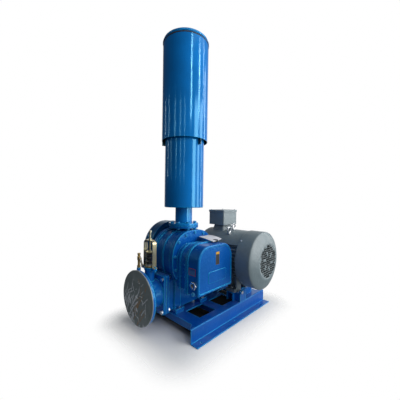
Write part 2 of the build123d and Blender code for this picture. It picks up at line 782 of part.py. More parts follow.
# Inlet silencer: flange, pipe and a drum that is open at the top
silencer_start = inlet_flange_height + inlet_flange_thickness + gasket_thickness
pipe_outer = inlet_pipe_diameter / 2
drum_outer = silencer_diameter / 2
with BuildPart() as silencer_body:
    with BuildSketch(upright(blower_x, blower_y)):
        with BuildLine():
            Polyline(
                (pipe_outer - pipe_wall, silencer_start), (inlet_flange_diameter / 2, silencer_start),
                (inlet_flange_diameter / 2, silencer_start + inlet_flange_thickness),
                (pipe_outer, silencer_start + inlet_flange_thickness), (pipe_outer, silencer_bottom),
                (drum_outer - 4, silencer_bottom), (drum_outer, silencer_bottom + 4), (drum_outer, silencer_top),
                (filter_diameter / 2 - 20, silencer_top), (filter_diameter / 2 - 20, silencer_top - shell_wall),
                (drum_outer - shell_wall, silencer_top - shell_wall),
                (drum_outer - shell_wall, silencer_bottom + shell_wall),
                (pipe_outer - pipe_wall, silencer_bottom + shell_wall), close=True)
        make_face()
    revolve(axis=Axis((blower_x, blower_y, 0), (0, 0, 1)))
    with BuildSketch(Plane.XY.offset(silencer_start)):
        with Locations((blower_x, blower_y)):
            with PolarLocations(inlet_bolt_circle / 2, 8, start_angle=22.5):
                Circle(flange_hole / 2)
    extrude(amount=inlet_flange_thickness, mode=Mode.SUBTRACT)
write(silencer_body, "silencer_body")

# Hood: an outer shell open at the bottom, carried by three webs inside
hood_radius = hood_diameter / 2
web_length = 90
with BuildPart() as silencer_hood:
    with BuildSketch(Plane.XY.offset(hood_bottom)):
        with Locations((blower_x, blower_y)):
            Circle(hood_radius)
            Circle(hood_radius - shell_wall, mode=Mode.SUBTRACT)
    extrude(amount=hood_top - hood_bottom)
    with BuildSketch(Plane.XY.offset(silencer_top - web_length)):
        with Locations((blower_x, blower_y)):
            with PolarLocations((hood_radius - shell_wall + drum_outer + 1) / 2, 3, start_angle=30):
                Rectangle(hood_radius - shell_wall - drum_outer + 0.6, 5)
    extrude(amount=web_length)
write(silencer_hood, "silencer_hood")

# Lid: a shallow pressed cap with a bead where it meets the hood
bead = 3
lid_overlap = 24
with BuildPart() as silencer_lid:
    with BuildSketch(upright(blower_x, blower_y)):
        with BuildLine():
            Polyline(
                (0, hood_top), (hood_radius - shell_wall - 0.3, hood_top),
                (hood_radius - shell_wall - 0.3, hood_top - lid_overlap),
                (hood_radius - 2 * shell_wall, hood_top - lid_overlap),
                (hood_radius - 2 * shell_wall, hood_top - shell_wall), (0, hood_top - shell_wall), close=True)
        make_face()
        with BuildLine():
            Polyline(
                (0, hood_top), (hood_radius + bead, hood_top), (hood_radius + bead, hood_top + 4),
                (hood_radius - 1, hood_top + 7), (hood_radius - 2, hood_top + lid_rise - 5),
                (hood_radius - 8, hood_top + lid_rise), (0, hood_top + lid_rise), close=True)
        make_face()
    revolve(axis=Axis((blower_x, blower_y, 0), (0, 0, 1)))
write(silencer_lid, "silencer_lid")

# Filter element inside the hood, standing on the drum
filter_outer = filter_diameter / 2
with BuildPart() as filter_element:
    with BuildSketch(upright(blower_x, blower_y)):
        with BuildLine():
            Polyline(
                (filter_outer - 20, silencer_top), (filter_outer + 6, silencer_top),
                (filter_outer + 6, silencer_top + 10), (filter_outer, silencer_top + 10),
                (filter_outer, silencer_top + filter_height), (filter_outer + 6, silencer_top + filter_height),
                (filter_outer + 6, silencer_top + filter_height + 10), (0, silencer_top + filter_height + 10),
                (0, silencer_top + filter_height), (filter_outer - 20, silencer_top + filter_height), close=True)
        make_face()
    revolve(axis=Axis((blower_x, blower_y, 0), (0, 0, 1)))
write(filter_element, "filter_element")

# Bolts of the inlet flanges, heads on top and nuts below
inlet_bolt_shank = 16
inlet_stack = 2 * inlet_flange_thickness + gasket_thickness
inlet_nut = 10
stud_end = 1.5
inlet_places = [
    Plane(origin=(blower_x + x, blower_y + y, silencer_start + inlet_flange_thickness))
    for x, y in (polar(inlet_bolt_circle / 2, 22.5 + 45 * step) for step in range(8))]
with BuildPart() as inlet_bolts:
    add(hex_bolts(inlet_places, 24, 10, inlet_bolt_shank, inlet_stack + inlet_nut + stud_end).part)
    with BuildSketch(*[place.offset(-inlet_stack) for place in inlet_places]):
        RegularPolygon(radius=12, side_count=6, major_radius=False)
    extrude(amount=-inlet_nut)
write(inlet_bolts, "inlet_bolts")

# Gaskets: a ring at the inlet, a plate at the discharge
tee_start = mouth_x - plate_thickness - gasket_thickness
with BuildPart() as flange_gaskets:
    with BuildSketch(Plane.XY.offset(inlet_flange_height + inlet_flange_thickness)):
        with Locations((blower_x, blower_y)):
            Circle(inlet_bolt_circle / 2 - 12)
            Circle(inlet_bore / 2, mode=Mode.SUBTRACT)
    extrude(amount=gasket_thickness)
    with BuildSketch(Plane.YZ.offset(tee_start)):
        with Locations((blower_y, discharge_height)):
            RectangleRounded(plate_width, plate_height, 14)
            Circle(duct_diameter / 2, mode=Mode.SUBTRACT)
            with GridLocations(plate_bolt_x, plate_bolt_z, 2, 2):
                Circle(9, mode=Mode.SUBTRACT)
    extrude(amount=gasket_thickness)
write(flange_gaskets, "flange_gaskets")

# Discharge tee: plate, flaring pipe, round mouth flange, branch for the relief valve
mouth_start = tee_start - plate_thickness - tee_length + mouth_flange_thickness
mouth_face = mouth_start - mouth_flange_thickness
tee_plate_face = tee_start - plate_thickness
flare_start = tee_plate_face - 55
branch_x = tee_plate_face - branch_offset
cock_x = tee_plate_face - cock_offset
collar_height = 16
collar_ear = 70
yoke_bolt = 61
cock_boss = 26
cock_boss_top = 408
tee_axis = Axis((0, blower_y, discharge_height), (1, 0, 0))
tee_profile = Plane(origin=(0, blower_y, discharge_height), x_dir=(1, 0, 0), z_dir=(0, -1, 0))
with BuildPart() as discharge_tee:
    with BuildSketch(Plane.YZ.offset(tee_plate_face)):
        with Locations((blower_y, discharge_height)):
            RectangleRounded(plate_width, plate_height, 14)
    extrude(amount=plate_thickness)
    with BuildSketch(tee_profile):
        with BuildLine():
            Polyline(
                (tee_plate_face + 5, 0), (tee_plate_face + 5, tee_diameter / 2), (flare_start, tee_diameter / 2),
                (mouth_start, mouth_bore / 2 + tee_wall), (mouth_start, mouth_flange_diameter / 2),
                (mouth_face, mouth_flange_diameter / 2), (mouth_face, 0), close=True)
        make_face()
    revolve(axis=tee_axis)
    with BuildSketch(Plane.XY.offset(discharge_height)):
        with Locations((branch_x, blower_y)):
            Circle(branch_diameter / 2)
        with Locations((cock_x, blower_y + cock_aside)):
            Circle(cock_boss / 2)
    extrude(amount=cock_boss_top - discharge_height)
    with BuildSketch(Plane.XY.offset(branch_top - collar_height)):
        with Locations((branch_x, blower_y)):
            Circle(branch_diameter / 2 + 4)
            SlotOverall(2 * collar_ear, yoke_width, rotation=90)
    extrude(amount=collar_height)
    with BuildSketch(tee_profile):
        with BuildLine():
            Polyline(
                (tee_start, 0), (tee_start, duct_diameter / 2), (flare_start, duct_diameter / 2),
                (mouth_start, mouth_bore / 2), (mouth_face, mouth_bore / 2), (mouth_face, 0), close=True)
        make_face()
    revolve(axis=tee_axis, mode=Mode.SUBTRACT)
    with BuildSketch(Plane.XY.offset(discharge_height)):
        with Locations((branch_x, blower_y)):
            Circle(branch_bore / 2)
        with Locations((cock_x, blower_y + cock_aside)):
            Circle(5)
    extrude(amount=branch_top - discharge_height, mode=Mode.SUBTRACT)
    with BuildSketch(Plane.YZ.offset(tee_plate_face)):
        with Locations((blower_y, discharge_height)):
            with GridLocations(plate_bolt_x, plate_bolt_z, 2, 2):
                Circle(9)
    extrude(amount=plate_thickness, mode=Mode.SUBTRACT)
    with BuildSketch(Plane.YZ.offset(mouth_face)):
        with Locations((blower_y, discharge_height)):
            with PolarLocations(mouth_bolt_circle / 2, 8, start_angle=22.5):
                Circle(mouth_bolt_hole / 2)
    extrude(amount=mouth_flange_thickness, mode=Mode.SUBTRACT)
    with BuildSketch(Plane.XY.offset(branch_top - collar_height)):
        with Locations((branch_x, blower_y - yoke_bolt), (branch_x, blower_y + yoke_bolt)):
            Circle(4)
    extrude(amount=collar_height, mode=Mode.SUBTRACT)
write(discharge_tee, "discharge_tee")

# Bolts of the discharge plates: heads on the tee, nuts behind the casing's plate
plate_stack = 2 * plate_thickness + gasket_thickness
plate_bolt_places = [
    Plane(origin=(tee_plate_face, blower_y + side * plate_bolt_x / 2, discharge_height + rise * plate_bolt_z / 2),
          x_dir=(0, -1, 0), z_dir=(-1, 0, 0))
    for side in (-1, 1) for rise in (-1, 1)]
with BuildPart() as discharge_bolts:
    add(hex_bolts(plate_bolt_places, 24, 10, 16, plate_stack + 13 + 5).part)
    with BuildSketch(*[place.offset(-plate_stack) for place in plate_bolt_places]):
        RegularPolygon(radius=12, side_count=6, major_radius=False)
    extrude(amount=-13)
write(discharge_bolts, "discharge_bolts")

# Relief valve: brass seat, disc with a stem, spring, yoke and adjusting bolt
branch_axis = Axis((branch_x, blower_y, 0), (0, 0, 1))
seat_top = branch_top + seat_height
disc_top = seat_top + disc_height
with BuildPart() as relief_seat:
    with BuildSketch(Plane.XY.offset(branch_top)):
        with Locations((branch_x, blower_y)):
            Circle(branch_diameter / 2 + 1)
            Circle(branch_bore / 2, mode=Mode.SUBTRACT)
    extrude(amount=seat_height)
write(relief_seat, "relief_seat")

with BuildPart() as relief_disc:
    with BuildSketch(upright(branch_x, blower_y)):
        with BuildLine():
            Polyline(
                (0, seat_top), (27, seat_top), (27, disc_top), (14, disc_top), (14, disc_top + 5),
                (9, disc_top + 5), (9, disc_top + 40), (0, disc_top + 40), close=True)
        make_face()
    revolve(axis=branch_axis)
write(relief_disc, "relief_disc")

spring_wire = 6
spring_coil = 20
spring_turns = 6
with BuildPart() as relief_spring:
    with BuildLine(Plane(origin=(branch_x, blower_y, disc_top + spring_wire / 2))) as coil:
        rise = spring_top - disc_top - spring_wire
        Helix(pitch=rise / spring_turns, height=rise, radius=spring_coil)
    with BuildSketch(Plane(origin=coil.line @ 0, z_dir=coil.line % 0)):
        RegularPolygon(radius=spring_wire / 2, side_count=8)
    sweep()
write(relief_spring, "relief_spring")

strap_outer = yoke_span / 2
shoulder = 26
with BuildPart() as relief_yoke:
    with BuildSketch(Plane.YZ.offset(branch_x - yoke_width / 2)) as strap:
        with Locations((blower_y, (branch_top + yoke_top) / 2)):
            Rectangle(yoke_span, yoke_top - branch_top)
        fillet(strap.vertices().group_by(Axis.Y)[-1], shoulder)
        with BuildSketch(Plane.XY, mode=Mode.PRIVATE) as hollow:
            with Locations((blower_y, (branch_top + yoke_top) / 2 - yoke_strap / 2)):
                Rectangle(yoke_span - 2 * yoke_strap, yoke_top - branch_top - yoke_strap)
            fillet(hollow.vertices().group_by(Axis.Y)[-1], shoulder - yoke_strap)
        add(hollow.sketch, mode=Mode.SUBTRACT)
        for side in (-1, 1):
            with Locations((blower_y + side * (strap_outer + collar_ear) / 2, branch_top + yoke_strap / 2)):
                Rectangle(collar_ear - strap_outer, yoke_strap)
    extrude(amount=yoke_width)
    with BuildSketch(Plane.XY.offset(yoke_top)):
        with Locations((branch_x, blower_y)):
            Circle(6.2)
    extrude(amount=-yoke_strap, mode=Mode.SUBTRACT)
    with BuildSketch(Plane.XY.offset(branch_top)):
        with Locations((branch_x, blower_y - yoke_bolt), (branch_x, blower_y + yoke_bolt)):
            Circle(4)
    extrude(amount=yoke_strap, mode=Mode.SUBTRACT)
write(relief_yoke, "relief_yoke")

with BuildPart() as relief_adjuster:
    with BuildSketch(upright(branch_x, blower_y)):
        with BuildLine():
            Polyline(
                (0, spring_top), (25, spring_top), (25, spring_top + 6), (10, spring_top + 6),
                (10, spring_top + 14), (6, spring_top + 14), (6, adjuster_top - 8), (0, adjuster_top - 8), close=True)
        make_face()
    revolve(axis=branch_axis)
    for foot, tall in ((yoke_top, 9), (adjuster_top - 8, 8)):
        with BuildSketch(Plane.XY.offset(foot)):
            with Locations((branch_x, blower_y)):
                RegularPolygon(radius=9.5, side_count=6, major_radius=False)
        extrude(amount=tall)
write(relief_adjuster, "relief_adjuster")

yoke_bolt_places = [
    Plane(origin=(branch_x, blower_y + side * yoke_bolt, branch_top + yoke_strap)) for side in (-1, 1)]
with BuildPart() as yoke_bolts:
    add(hex_bolts(yoke_bolt_places, 13, 6, 8, yoke_strap + collar_height + 9).part)
    with BuildSketch(*[place.offset(-yoke_strap - collar_height) for place in yoke_bolt_places]):
        RegularPolygon(radius=6.5, side_count=6, major_radius=False)
    extrude(amount=-7)
write(yoke_bolts, "yoke_bolts")

# Gauge cock on the shoulder of the tee, with a lever on its side
cock_y = blower_y + cock_aside
cock_top = 502
lever_height = 470
lever_length = 58
lever_lean = 75
spindle_end = 24
with BuildPart() as gauge_cock_body:
    with BuildSketch(upright(cock_x, cock_y)):
        with BuildLine():
            Polyline(
                (0, cock_boss_top - 10), (5, cock_boss_top - 10), (5, cock_boss_top), (11, cock_boss_top),
                (11, cock_boss_top + 14), (8, cock_boss_top + 16), (8, lever_height - 14), (11, lever_height - 10),
                (11, lever_height + 10), (8, lever_height + 14), (8, cock_top - 10), (10, cock_top - 10),
                (10, cock_top), (0, cock_top), close=True)
        make_face()
    revolve(axis=Axis((cock_x, cock_y, 0), (0, 0, 1)))
    with BuildSketch(facing_front(cock_y)):
        with Locations((cock_x, lever_height)):
            Circle(8)
    extrude(amount=16)
    with BuildSketch(facing_front(cock_y)):
        with Locations((cock_x, lever_height)):
            Circle(4)
    extrude(amount=spindle_end)
write(gauge_cock_body, "gauge_cock_body")

lever_x, lever_z = polar(lever_length, -lever_lean)
with BuildPart() as gauge_cock_lever:
    with BuildSketch(facing_front(cock_y - 16.2)):
        with Locations((cock_x + lever_x / 2, lever_height + lever_z / 2)):
            SlotCenterToCenter(lever_length, 12, rotation=-lever_lean)
        with Locations((cock_x, lever_height)):
            Circle(8)
            Circle(4.05, mode=Mode.SUBTRACT)
    extrude(amount=4)
write(gauge_cock_lever, "gauge_cock_lever")

# Pulleys with three V grooves each
pulley_length = 64
pulley_middle = pulley_start + pulley_length / 2
belt_places = [pulley_middle + (step - (belt_count - 1) / 2) * belt_pitch for step in range(belt_count)]


def pulley_profile(outer, bore):
    """Half section of a grooved pulley: depth along the axis, radius up."""
    points = [(pulley_start, bore), (pulley_start, outer)]
    for place in belt_places:
        top = belt_top_width / 2 + groove_gap
        bottom = belt_bottom_width / 2 + groove_gap
        points += [(place - top, outer), (place - bottom, outer - belt_height)]
        points += [(place + bottom, outer - belt_height), (place + top, outer)]
    points += [(pulley_start + pulley_length, outer), (pulley_start + pulley_length, bore)]
    return points


blower_pulley_radius = blower_pulley_diameter / 2
motor_pulley_radius = motor_pulley_diameter / 2
web_recess = 18
with BuildPart() as blower_pulley:
    with BuildSketch(lying(drive_shaft_x, shaft_height)):
        with BuildLine():
            Polyline(*pulley_profile(blower_pulley_radius, shaft_radius), close=True)
        make_face()
    revolve(axis=along_y(drive_shaft_x, shaft_height))
    with BuildSketch(facing_front(pulley_start), facing_front(pulley_start + pulley_length - web_recess)):
        with Locations((drive_shaft_x, shaft_height)):
            Circle(blower_pulley_radius - 24)
            Circle(46, mode=Mode.SUBTRACT)
    extrude(amount=-web_recess, mode=Mode.SUBTRACT)
write(blower_pulley, "blower_pulley")

motor_shaft_radius = motor_shaft_diameter / 2
with BuildPart() as motor_pulley:
    with BuildSketch(lying(motor_x, motor_z)):
        with BuildLine():
            Polyline(*pulley_profile(motor_pulley_radius, motor_shaft_radius), close=True)
        make_face()
    revolve(axis=along_y(motor_x, motor_z))
    with BuildSketch(facing_front(pulley_start), facing_front(pulley_start + pulley_length - web_recess)):
        with Locations((motor_x, motor_z)):
            Circle(motor_pulley_radius - 22)
            Circle(42, mode=Mode.SUBTRACT)
    extrude(amount=-web_recess, mode=Mode.SUBTRACT)
write(motor_pulley, "motor_pulley")


def two_circles(left, left_radius, right, right_radius):
    """The outline round two circles: upper run, right arc, lower run, left arc."""
    along = (right[0] - left[0], right[1] - left[1])
    gap = hypot(*along)
    slope = 180 / pi * acos(along[0] / gap) * (1 if along[1] > 0 else -1)
    spread = 180 / pi * acos((left_radius - right_radius) / gap)
    points = []
    for centre, radius, angles in (
            (left, left_radius, (slope - spread, slope + 180, slope + spread)),
            (right, right_radius, (slope + spread, slope, slope - spread))):
        for angle in angles:
            x, z = polar(radius, angle)
            points.append((centre[0] + x, centre[1] + z))
    return points


def round_both(left, left_radius, right, right_radius):
    """A filled face round two circles, seen from the front."""
    points = two_circles(left, left_radius, right, right_radius)
    with BuildSketch(facing_front(0)) as outline:
        with BuildLine():
            Line(points[2], points[3])
            ThreePointArc(points[3], points[4], points[5])
            Line(points[5], points[0])
            ThreePointArc(points[0], points[1], points[2])
        make_face()
    return outline.sketch


# V-belts, each lying on the root of its groove
left_root = blower_pulley_radius - belt_height
right_root = motor_pulley_radius - belt_height
loop = two_circles((drive_shaft_x, shaft_height), left_root, (motor_x, motor_z), right_root)
with BuildPart() as v_belts:
    for place in belt_places:
        with BuildLine(facing_front(place)) as run:
            Line(loop[2], loop[3])
            ThreePointArc(loop[3], loop[4], loop[5])
            Line(loop[5], loop[0])
            ThreePointArc(loop[0], loop[1], loop[2])
        run_x, run_z = loop[3][0] - loop[2][0], loop[3][1] - loop[2][1]
        with BuildSketch(Plane(origin=(loop[2][0], place, loop[2][1]), x_dir=(0, 1, 0), z_dir=(run_x, 0, run_z))):
            with BuildLine():
                Polyline(
                    (-belt_bottom_width / 2, 0), (belt_bottom_width / 2, 0),
                    (belt_top_width / 2, belt_height), (-belt_top_width / 2, belt_height), close=True)
            make_face()
        sweep(path=run.wire())
write(v_belts, "v_belts")

# Belt guard: a thin box round both pulleys, with a hole for each shaft and a vented back
guard_left = (guard_left_x, shaft_height + guard_left_rise)
guard_right = (motor_x, motor_z)
shell = round_both(guard_left, guard_left_radius, guard_right, guard_right_radius)
room = round_both(guard_left, guard_left_radius - guard_wall, guard_right, guard_right_radius - guard_wall)
vent_length = 90
with BuildPart() as belt_guard:
    extrude(shell.moved(Location((0, guard_front, 0))), amount=-guard_depth)
    extrude(room.moved(Location((0, guard_front + guard_wall, 0))), amount=2 * guard_wall - guard_depth,
            mode=Mode.SUBTRACT)
    with BuildSketch(facing_front(guard_front)):
        with Locations((drive_shaft_x, shaft_height)):
            Circle(60)
        with Locations((motor_x, motor_z)):
            Circle(40)
    extrude(amount=-guard_wall, mode=Mode.SUBTRACT)
    with BuildSketch(facing_front(guard_front + guard_depth)):
        with Locations(guard_left):
            with GridLocations(0, 44, 1, 7):
                SlotOverall(2 * vent_length, 14)
        with Locations(guard_right):
            with GridLocations(0, 44, 1, 5):
                SlotOverall(vent_length, 14)
    extrude(amount=guard_wall, mode=Mode.SUBTRACT)
write(belt_guard, "belt_guard")

leg_thickness = 6
leg_foot = 46
leg_top = 330
with BuildPart() as guard_brackets:
    for x in (guard_left_x, motor_x):
        with BuildSketch(facing_front(guard_front - leg_thickness)):
            with Locations((x, (deck_height + leg_top) / 2)):
                Rectangle(60, leg_top - deck_height)
        extrude(amount=-leg_thickness)
        with BuildSketch(Plane.XY.offset(deck_height)):
            with Locations((x, guard_front - leg_foot / 2)):
                Rectangle(60, leg_foot)
        extrude(amount=leg_thickness)
write(guard_brackets, "guard_brackets")

# Motor: finned frame with a neck for the terminal box and four feet
foot_bottom = motor_foot_height
foot_top = foot_bottom + foot_thickness
half_foot = motor_foot_spacing_x / 2
foot_centres = [(motor_x + side * half_foot, y) for side in (-1, 1) for y in (motor_foot_front, motor_foot_rear)]
motor_bolt_hole = 18
saddle_rise = 40
saddle_angle = 56
box_neck_length = 116
box_neck_width = 96
box_neck_flare = 54
lead_hole = 44
eye_places = [
    (motor_x - 100, -140, motor_z + 130, motor_z + 184),
    (motor_x, -112, motor_z + frame_radius - 20, motor_z + frame_radius + saddle_rise - 4)]
eye_boss = 30
motor_axis = along_y(motor_x, motor_z)
fin_angles = [step * 360 / fin_count for step in range(fin_count)]
kept_fins = [
    angle for angle in fin_angles
    if abs(angle - 90) > saddle_angle and not 222 < angle < 257 and not 283 < angle < 318]
saddle_top = motor_z + frame_radius + saddle_rise
saddle_side_x, saddle_side_z = polar(frame_radius + saddle_rise, 90 - saddle_angle)
saddle_right = (motor_x + saddle_side_x, motor_z + saddle_side_z)
saddle_left = (motor_x - saddle_side_x, motor_z + saddle_side_z)
with BuildPart() as motor_frame:
    with BuildSketch(facing_front(frame_start)):
        with Locations((motor_x, motor_z)):
            Circle(frame_radius)
            for angle in kept_fins:
                with Locations(polar((frame_radius + fin_radius) / 2 - 2, angle)):
                    Rectangle(fin_radius - frame_radius + 4, fin_thickness, rotation=angle)
    extrude(amount=-(frame_end - frame_start))
    with BuildSketch(facing_front(frame_start)):
        with BuildLine():
            Polyline(saddle_right, (motor_x, motor_z), saddle_left)
            ThreePointArc(saddle_right, (motor_x, saddle_top), saddle_left)
        make_face()
    extrude(amount=-(frame_end - frame_start))
    with BuildSketch(Plane.XY.offset(motor_z + frame_radius - 20)):
        with Locations((motor_x, box_centre_y)):
            RectangleRounded(box_neck_length + box_neck_flare, box_neck_width + box_neck_flare, 24)
    with BuildSketch(Plane.XY.offset(box_bottom)):
        with Locations((motor_x, box_centre_y)):
            RectangleRounded(box_neck_length, box_neck_width, 10)
    loft()
    for x, y in foot_centres:
        side = 1 if x > motor_x else -1
        with BuildSketch(Plane.XY.offset(foot_bottom)):
            with Locations((x, y)):
                Rectangle(foot_length, foot_breadth)
        extrude(amount=foot_thickness)
        with BuildSketch(Plane.XY.offset(foot_bottom)):
            with Locations((x - side * 25, y - 36), (x - side * 25, y + 36)):
                Rectangle(foot_length - 4, 12)
            with Locations((x - side * 40, y)):
                Rectangle(14, foot_breadth)
        extrude(amount=motor_z - 60 - foot_bottom)
    for x, y, foot, top in eye_places:
        with BuildSketch(Plane.XY.offset(foot)):
            with Locations((x, y)):
                Circle(eye_boss / 2)
        extrude(amount=top - foot)
        with BuildSketch(Plane.XY.offset(top)):
            with Locations((x, y)):
                Circle(6)
        extrude(amount=-14, mode=Mode.SUBTRACT)
        with BuildSketch(Plane.XY.offset(top)):
            with Locations((x, y)):
                Circle(eye_boss / 2)
        extrude(amount=40, mode=Mode.SUBTRACT)
    with BuildSketch(facing_front(frame_start)):
        with Locations((motor_x, motor_z)):
            Circle(stator_radius)
    extrude(amount=-(frame_end - frame_start), mode=Mode.SUBTRACT)
    with BuildSketch(Plane.XY.offset(motor_z)):
        with Locations((motor_x, box_centre_y)):
            Circle(lead_hole / 2)
    extrude(amount=box_bottom - motor_z, mode=Mode.SUBTRACT)
    with BuildSketch(Plane.XY.offset(foot_bottom)):
        with Locations(*foot_centres):
            Circle(motor_bolt_hole / 2)
    extrude(amount=foot_thickness, mode=Mode.SUBTRACT)
write(motor_frame, "motor_frame")

# End shields with a bearing seat each; the front one has lugs for the fan cover
motor_bearing = 45
bearing_length = 22
lug_width = 22
with BuildPart() as motor_end_shields:
    with BuildSketch(facing_front(frame_start)):
        with Locations((motor_x, motor_z)):
            Circle(frame_radius)
            for angle in (45, 135, 225, 315):
                with Locations(polar((frame_radius + cover_radius) / 2 - 8, angle)):
                    Rectangle(cover_radius - frame_radius + 24, lug_width, rotation=angle)
    extrude(amount=shield_thickness)
    with BuildSketch(facing_front(frame_start)):
        with Locations((motor_x, motor_z)):
            Circle(cover_radius + 20)
            Circle(cover_radius - cover_wall, mode=Mode.SUBTRACT)
    extrude(amount=shield_thickness, mode=Mode.SUBTRACT)
    with BuildSketch(facing_front(frame_end)):
        with Locations((motor_x, motor_z)):
            Circle(frame_radius)
    extrude(amount=-shield_thickness)
    with BuildSketch(facing_front(frame_end + shield_thickness)):
        with Locations((motor_x, motor_z)):
            Circle(motor_bearing + 18)
    extrude(amount=-6)
    with BuildSketch(facing_front(frame_start)):
        with Locations((motor_x, motor_z)):
            Circle(motor_bearing)
    extrude(amount=bearing_length, mode=Mode.SUBTRACT)
    with BuildSketch(facing_front(frame_end)):
        with Locations((motor_x, motor_z)):
            Circle(motor_bearing)
    extrude(amount=-bearing_length, mode=Mode.SUBTRACT)
    with BuildSketch(facing_front(frame_start)):
        with Locations((motor_x, motor_z)):
            Circle(motor_shaft_radius + 1)
    extrude(amount=shield_thickness, mode=Mode.SUBTRACT)
    with BuildSketch(facing_front(frame_end)):
        with Locations((motor_x, motor_z)):
            Circle(motor_shaft_radius + 1)
    extrude(amount=-shield_thickness - 6, mode=Mode.SUBTRACT)
write(motor_end_shields, "motor_end_shields")

# Stator with its end windings, and the rotor with its shaft
core_start = -150
core_end = 10
winding_length = 36
winding_outer = stator_radius - 16
winding_inner = motor_core_radius + 18
with BuildPart() as stator_core:
    with BuildSketch(facing_front(core_start)):
        with Locations((motor_x, motor_z)):
            Circle(stator_radius)
            Circle(motor_core_radius + air_gap, mode=Mode.SUBTRACT)
    extrude(amount=-(core_end - core_start))
write(stator_core, "stator_core")

with BuildPart() as stator_windings:
    with BuildSketch(facing_front(core_start)):
        with Locations((motor_x, motor_z)):
            Circle(winding_outer)
            Circle(winding_inner, mode=Mode.SUBTRACT)
    extrude(amount=winding_length)
    with BuildSketch(facing_front(core_end)):
        with Locations((motor_x, motor_z)):
            Circle(winding_outer)
            Circle(winding_inner, mode=Mode.SUBTRACT)
    extrude(amount=-winding_length)
    fillet(stator_windings.edges().group_by(Axis.Y)[0], 8)
    fillet(stator_windings.edges().group_by(Axis.Y)[-1], 8)
write(stator_windings, "stator_windings")

shaft_start = -360
shaft_end = 302
ring_length = 14
with BuildPart() as motor_rotor:
    with BuildSketch(lying(motor_x, motor_z)):
        with BuildLine():
            Polyline(
                (shaft_start, 0), (shaft_start, motor_shaft_radius - 2), (shaft_start + 2, motor_shaft_radius),
                (core_start - ring_length, motor_shaft_radius), (core_start - ring_length, motor_core_radius - 6),
                (core_start, motor_core_radius - 6), (core_start, motor_core_radius),
                (core_end, motor_core_radius), (core_end, motor_core_radius - 6),
                (core_end + ring_length, motor_core_radius - 6), (core_end + ring_length, motor_shaft_radius),
                (shaft_end - 2, motor_shaft_radius), (shaft_end, motor_shaft_radius - 2), (shaft_end, 0), close=True)
        make_face()
    revolve(axis=motor_axis)
write(motor_rotor, "motor_rotor")

with BuildPart() as motor_bearings:
    for start in (frame_start, frame_end + bearing_length):
        with BuildSketch(facing_front(start)):
            with Locations((motor_x, motor_z)):
                Circle(motor_bearing)
                Circle(motor_shaft_radius + running_gap, mode=Mode.SUBTRACT)
        extrude(amount=bearing_length)
write(motor_bearings, "motor_bearings")

# Cooling fan and its cover with a grille of hexagonal holes
fan_plate = -312
fan_front = -352
blade_count = 8
blade_radius = 165
with BuildPart() as cooling_fan:
    with BuildSketch(facing_front(fan_plate)):
        with Locations((motor_x, motor_z)):
            Circle(146)
    extrude(amount=-5)
    with BuildSketch(facing_front(fan_plate)):
        with Locations((motor_x, motor_z)):
            Circle(42)
            for step in range(blade_count):
                angle = (step + 0.5) * 360 / blade_count
                with Locations(polar((36 + blade_radius) / 2, angle)):
                    Rectangle(blade_radius - 36, 5, rotation=angle)
    extrude(amount=fan_plate - fan_front)
    with BuildSketch(facing_front(fan_plate + 5)):
        with Locations((motor_x, motor_z)):
            Circle(motor_shaft_radius)
    extrude(amount=60, mode=Mode.SUBTRACT)
write(cooling_fan, "cooling_fan")

cover_face = cover_start - cover_cone
hole_rows = range(-4, 5)
grille_points = [
    (motor_x + (column + (row % 2) / 2) * grille_pitch, motor_z + row * grille_pitch * 0.866)
    for row in hole_rows for column in range(-5, 5)]
grille_points = [
    (x, z) for x, z in grille_points if hypot(x - motor_x, z - motor_z) < grille_radius - grille_hole / 2 - 6]
with BuildPart() as fan_cover:
    with BuildSketch(lying(motor_x, motor_z)):
        with BuildLine():
            Polyline(
                (cover_end, cover_radius), (cover_start, cover_radius), (cover_face, grille_radius), (cover_face, 0),
                (cover_face + cover_wall, 0), (cover_face + cover_wall, grille_radius - 1.5),
                (cover_start + 1.5, cover_radius - cover_wall), (cover_end, cover_radius - cover_wall), close=True)
        make_face()
    revolve(axis=motor_axis)
    with BuildSketch(facing_front(cover_face)):
        with Locations(*grille_points):
            RegularPolygon(radius=grille_hole / 2, side_count=6, major_radius=False)
    extrude(amount=-cover_wall, mode=Mode.SUBTRACT)
write(fan_cover, "fan_cover")

# Terminal box, its lid, the board inside and the lid's screws
lid_bottom = box_bottom + box_height
entry_height = box_bottom + 48
entry_radius = 16
screw_x = box_length / 2 - 14
screw_y = box_width / 2 - 14
with BuildPart() as terminal_box:
    with BuildSketch(Plane.XY.offset(box_bottom)):
        with Locations((motor_x, box_centre_y)):
            RectangleRounded(box_length, box_width, 10)
    extrude(amount=box_height)
    with BuildSketch(Plane.XY.offset(box_bottom + box_wall)):
        with Locations((motor_x, box_centre_y)):
            RectangleRounded(box_length - 2 * box_wall, box_width - 2 * box_wall, 6)
    extrude(amount=box_height - box_wall, mode=Mode.SUBTRACT)
    with BuildSketch(Plane.XY.offset(box_bottom)):
        with Locations((motor_x, box_centre_y)):
            with GridLocations(2 * screw_x, 2 * screw_y, 2, 2):
                Rectangle(20, 20)
    extrude(amount=box_height)
    with BuildSketch(Plane.YZ.offset(motor_x + box_length / 2)):
        with Locations((box_centre_y, entry_height)):
            Circle(entry_radius + 9)
    extrude(amount=10)
    with BuildSketch(Plane.YZ.offset(motor_x + box_length / 2 - box_wall)):
        with Locations((box_centre_y, entry_height)):
            Circle(entry_radius)
    extrude(amount=box_wall + 10, mode=Mode.SUBTRACT)
    with BuildSketch(Plane.XY.offset(box_bottom)):
        with Locations((motor_x, box_centre_y)):
            Circle(lead_hole / 2)
    extrude(amount=box_wall, mode=Mode.SUBTRACT)
    with BuildSketch(Plane.XY.offset(lid_bottom)):
        with Locations((motor_x, box_centre_y)):
            with GridLocations(2 * screw_x, 2 * screw_y, 2, 2):
                Circle(2.5)
    extrude(amount=-16, mode=Mode.SUBTRACT)
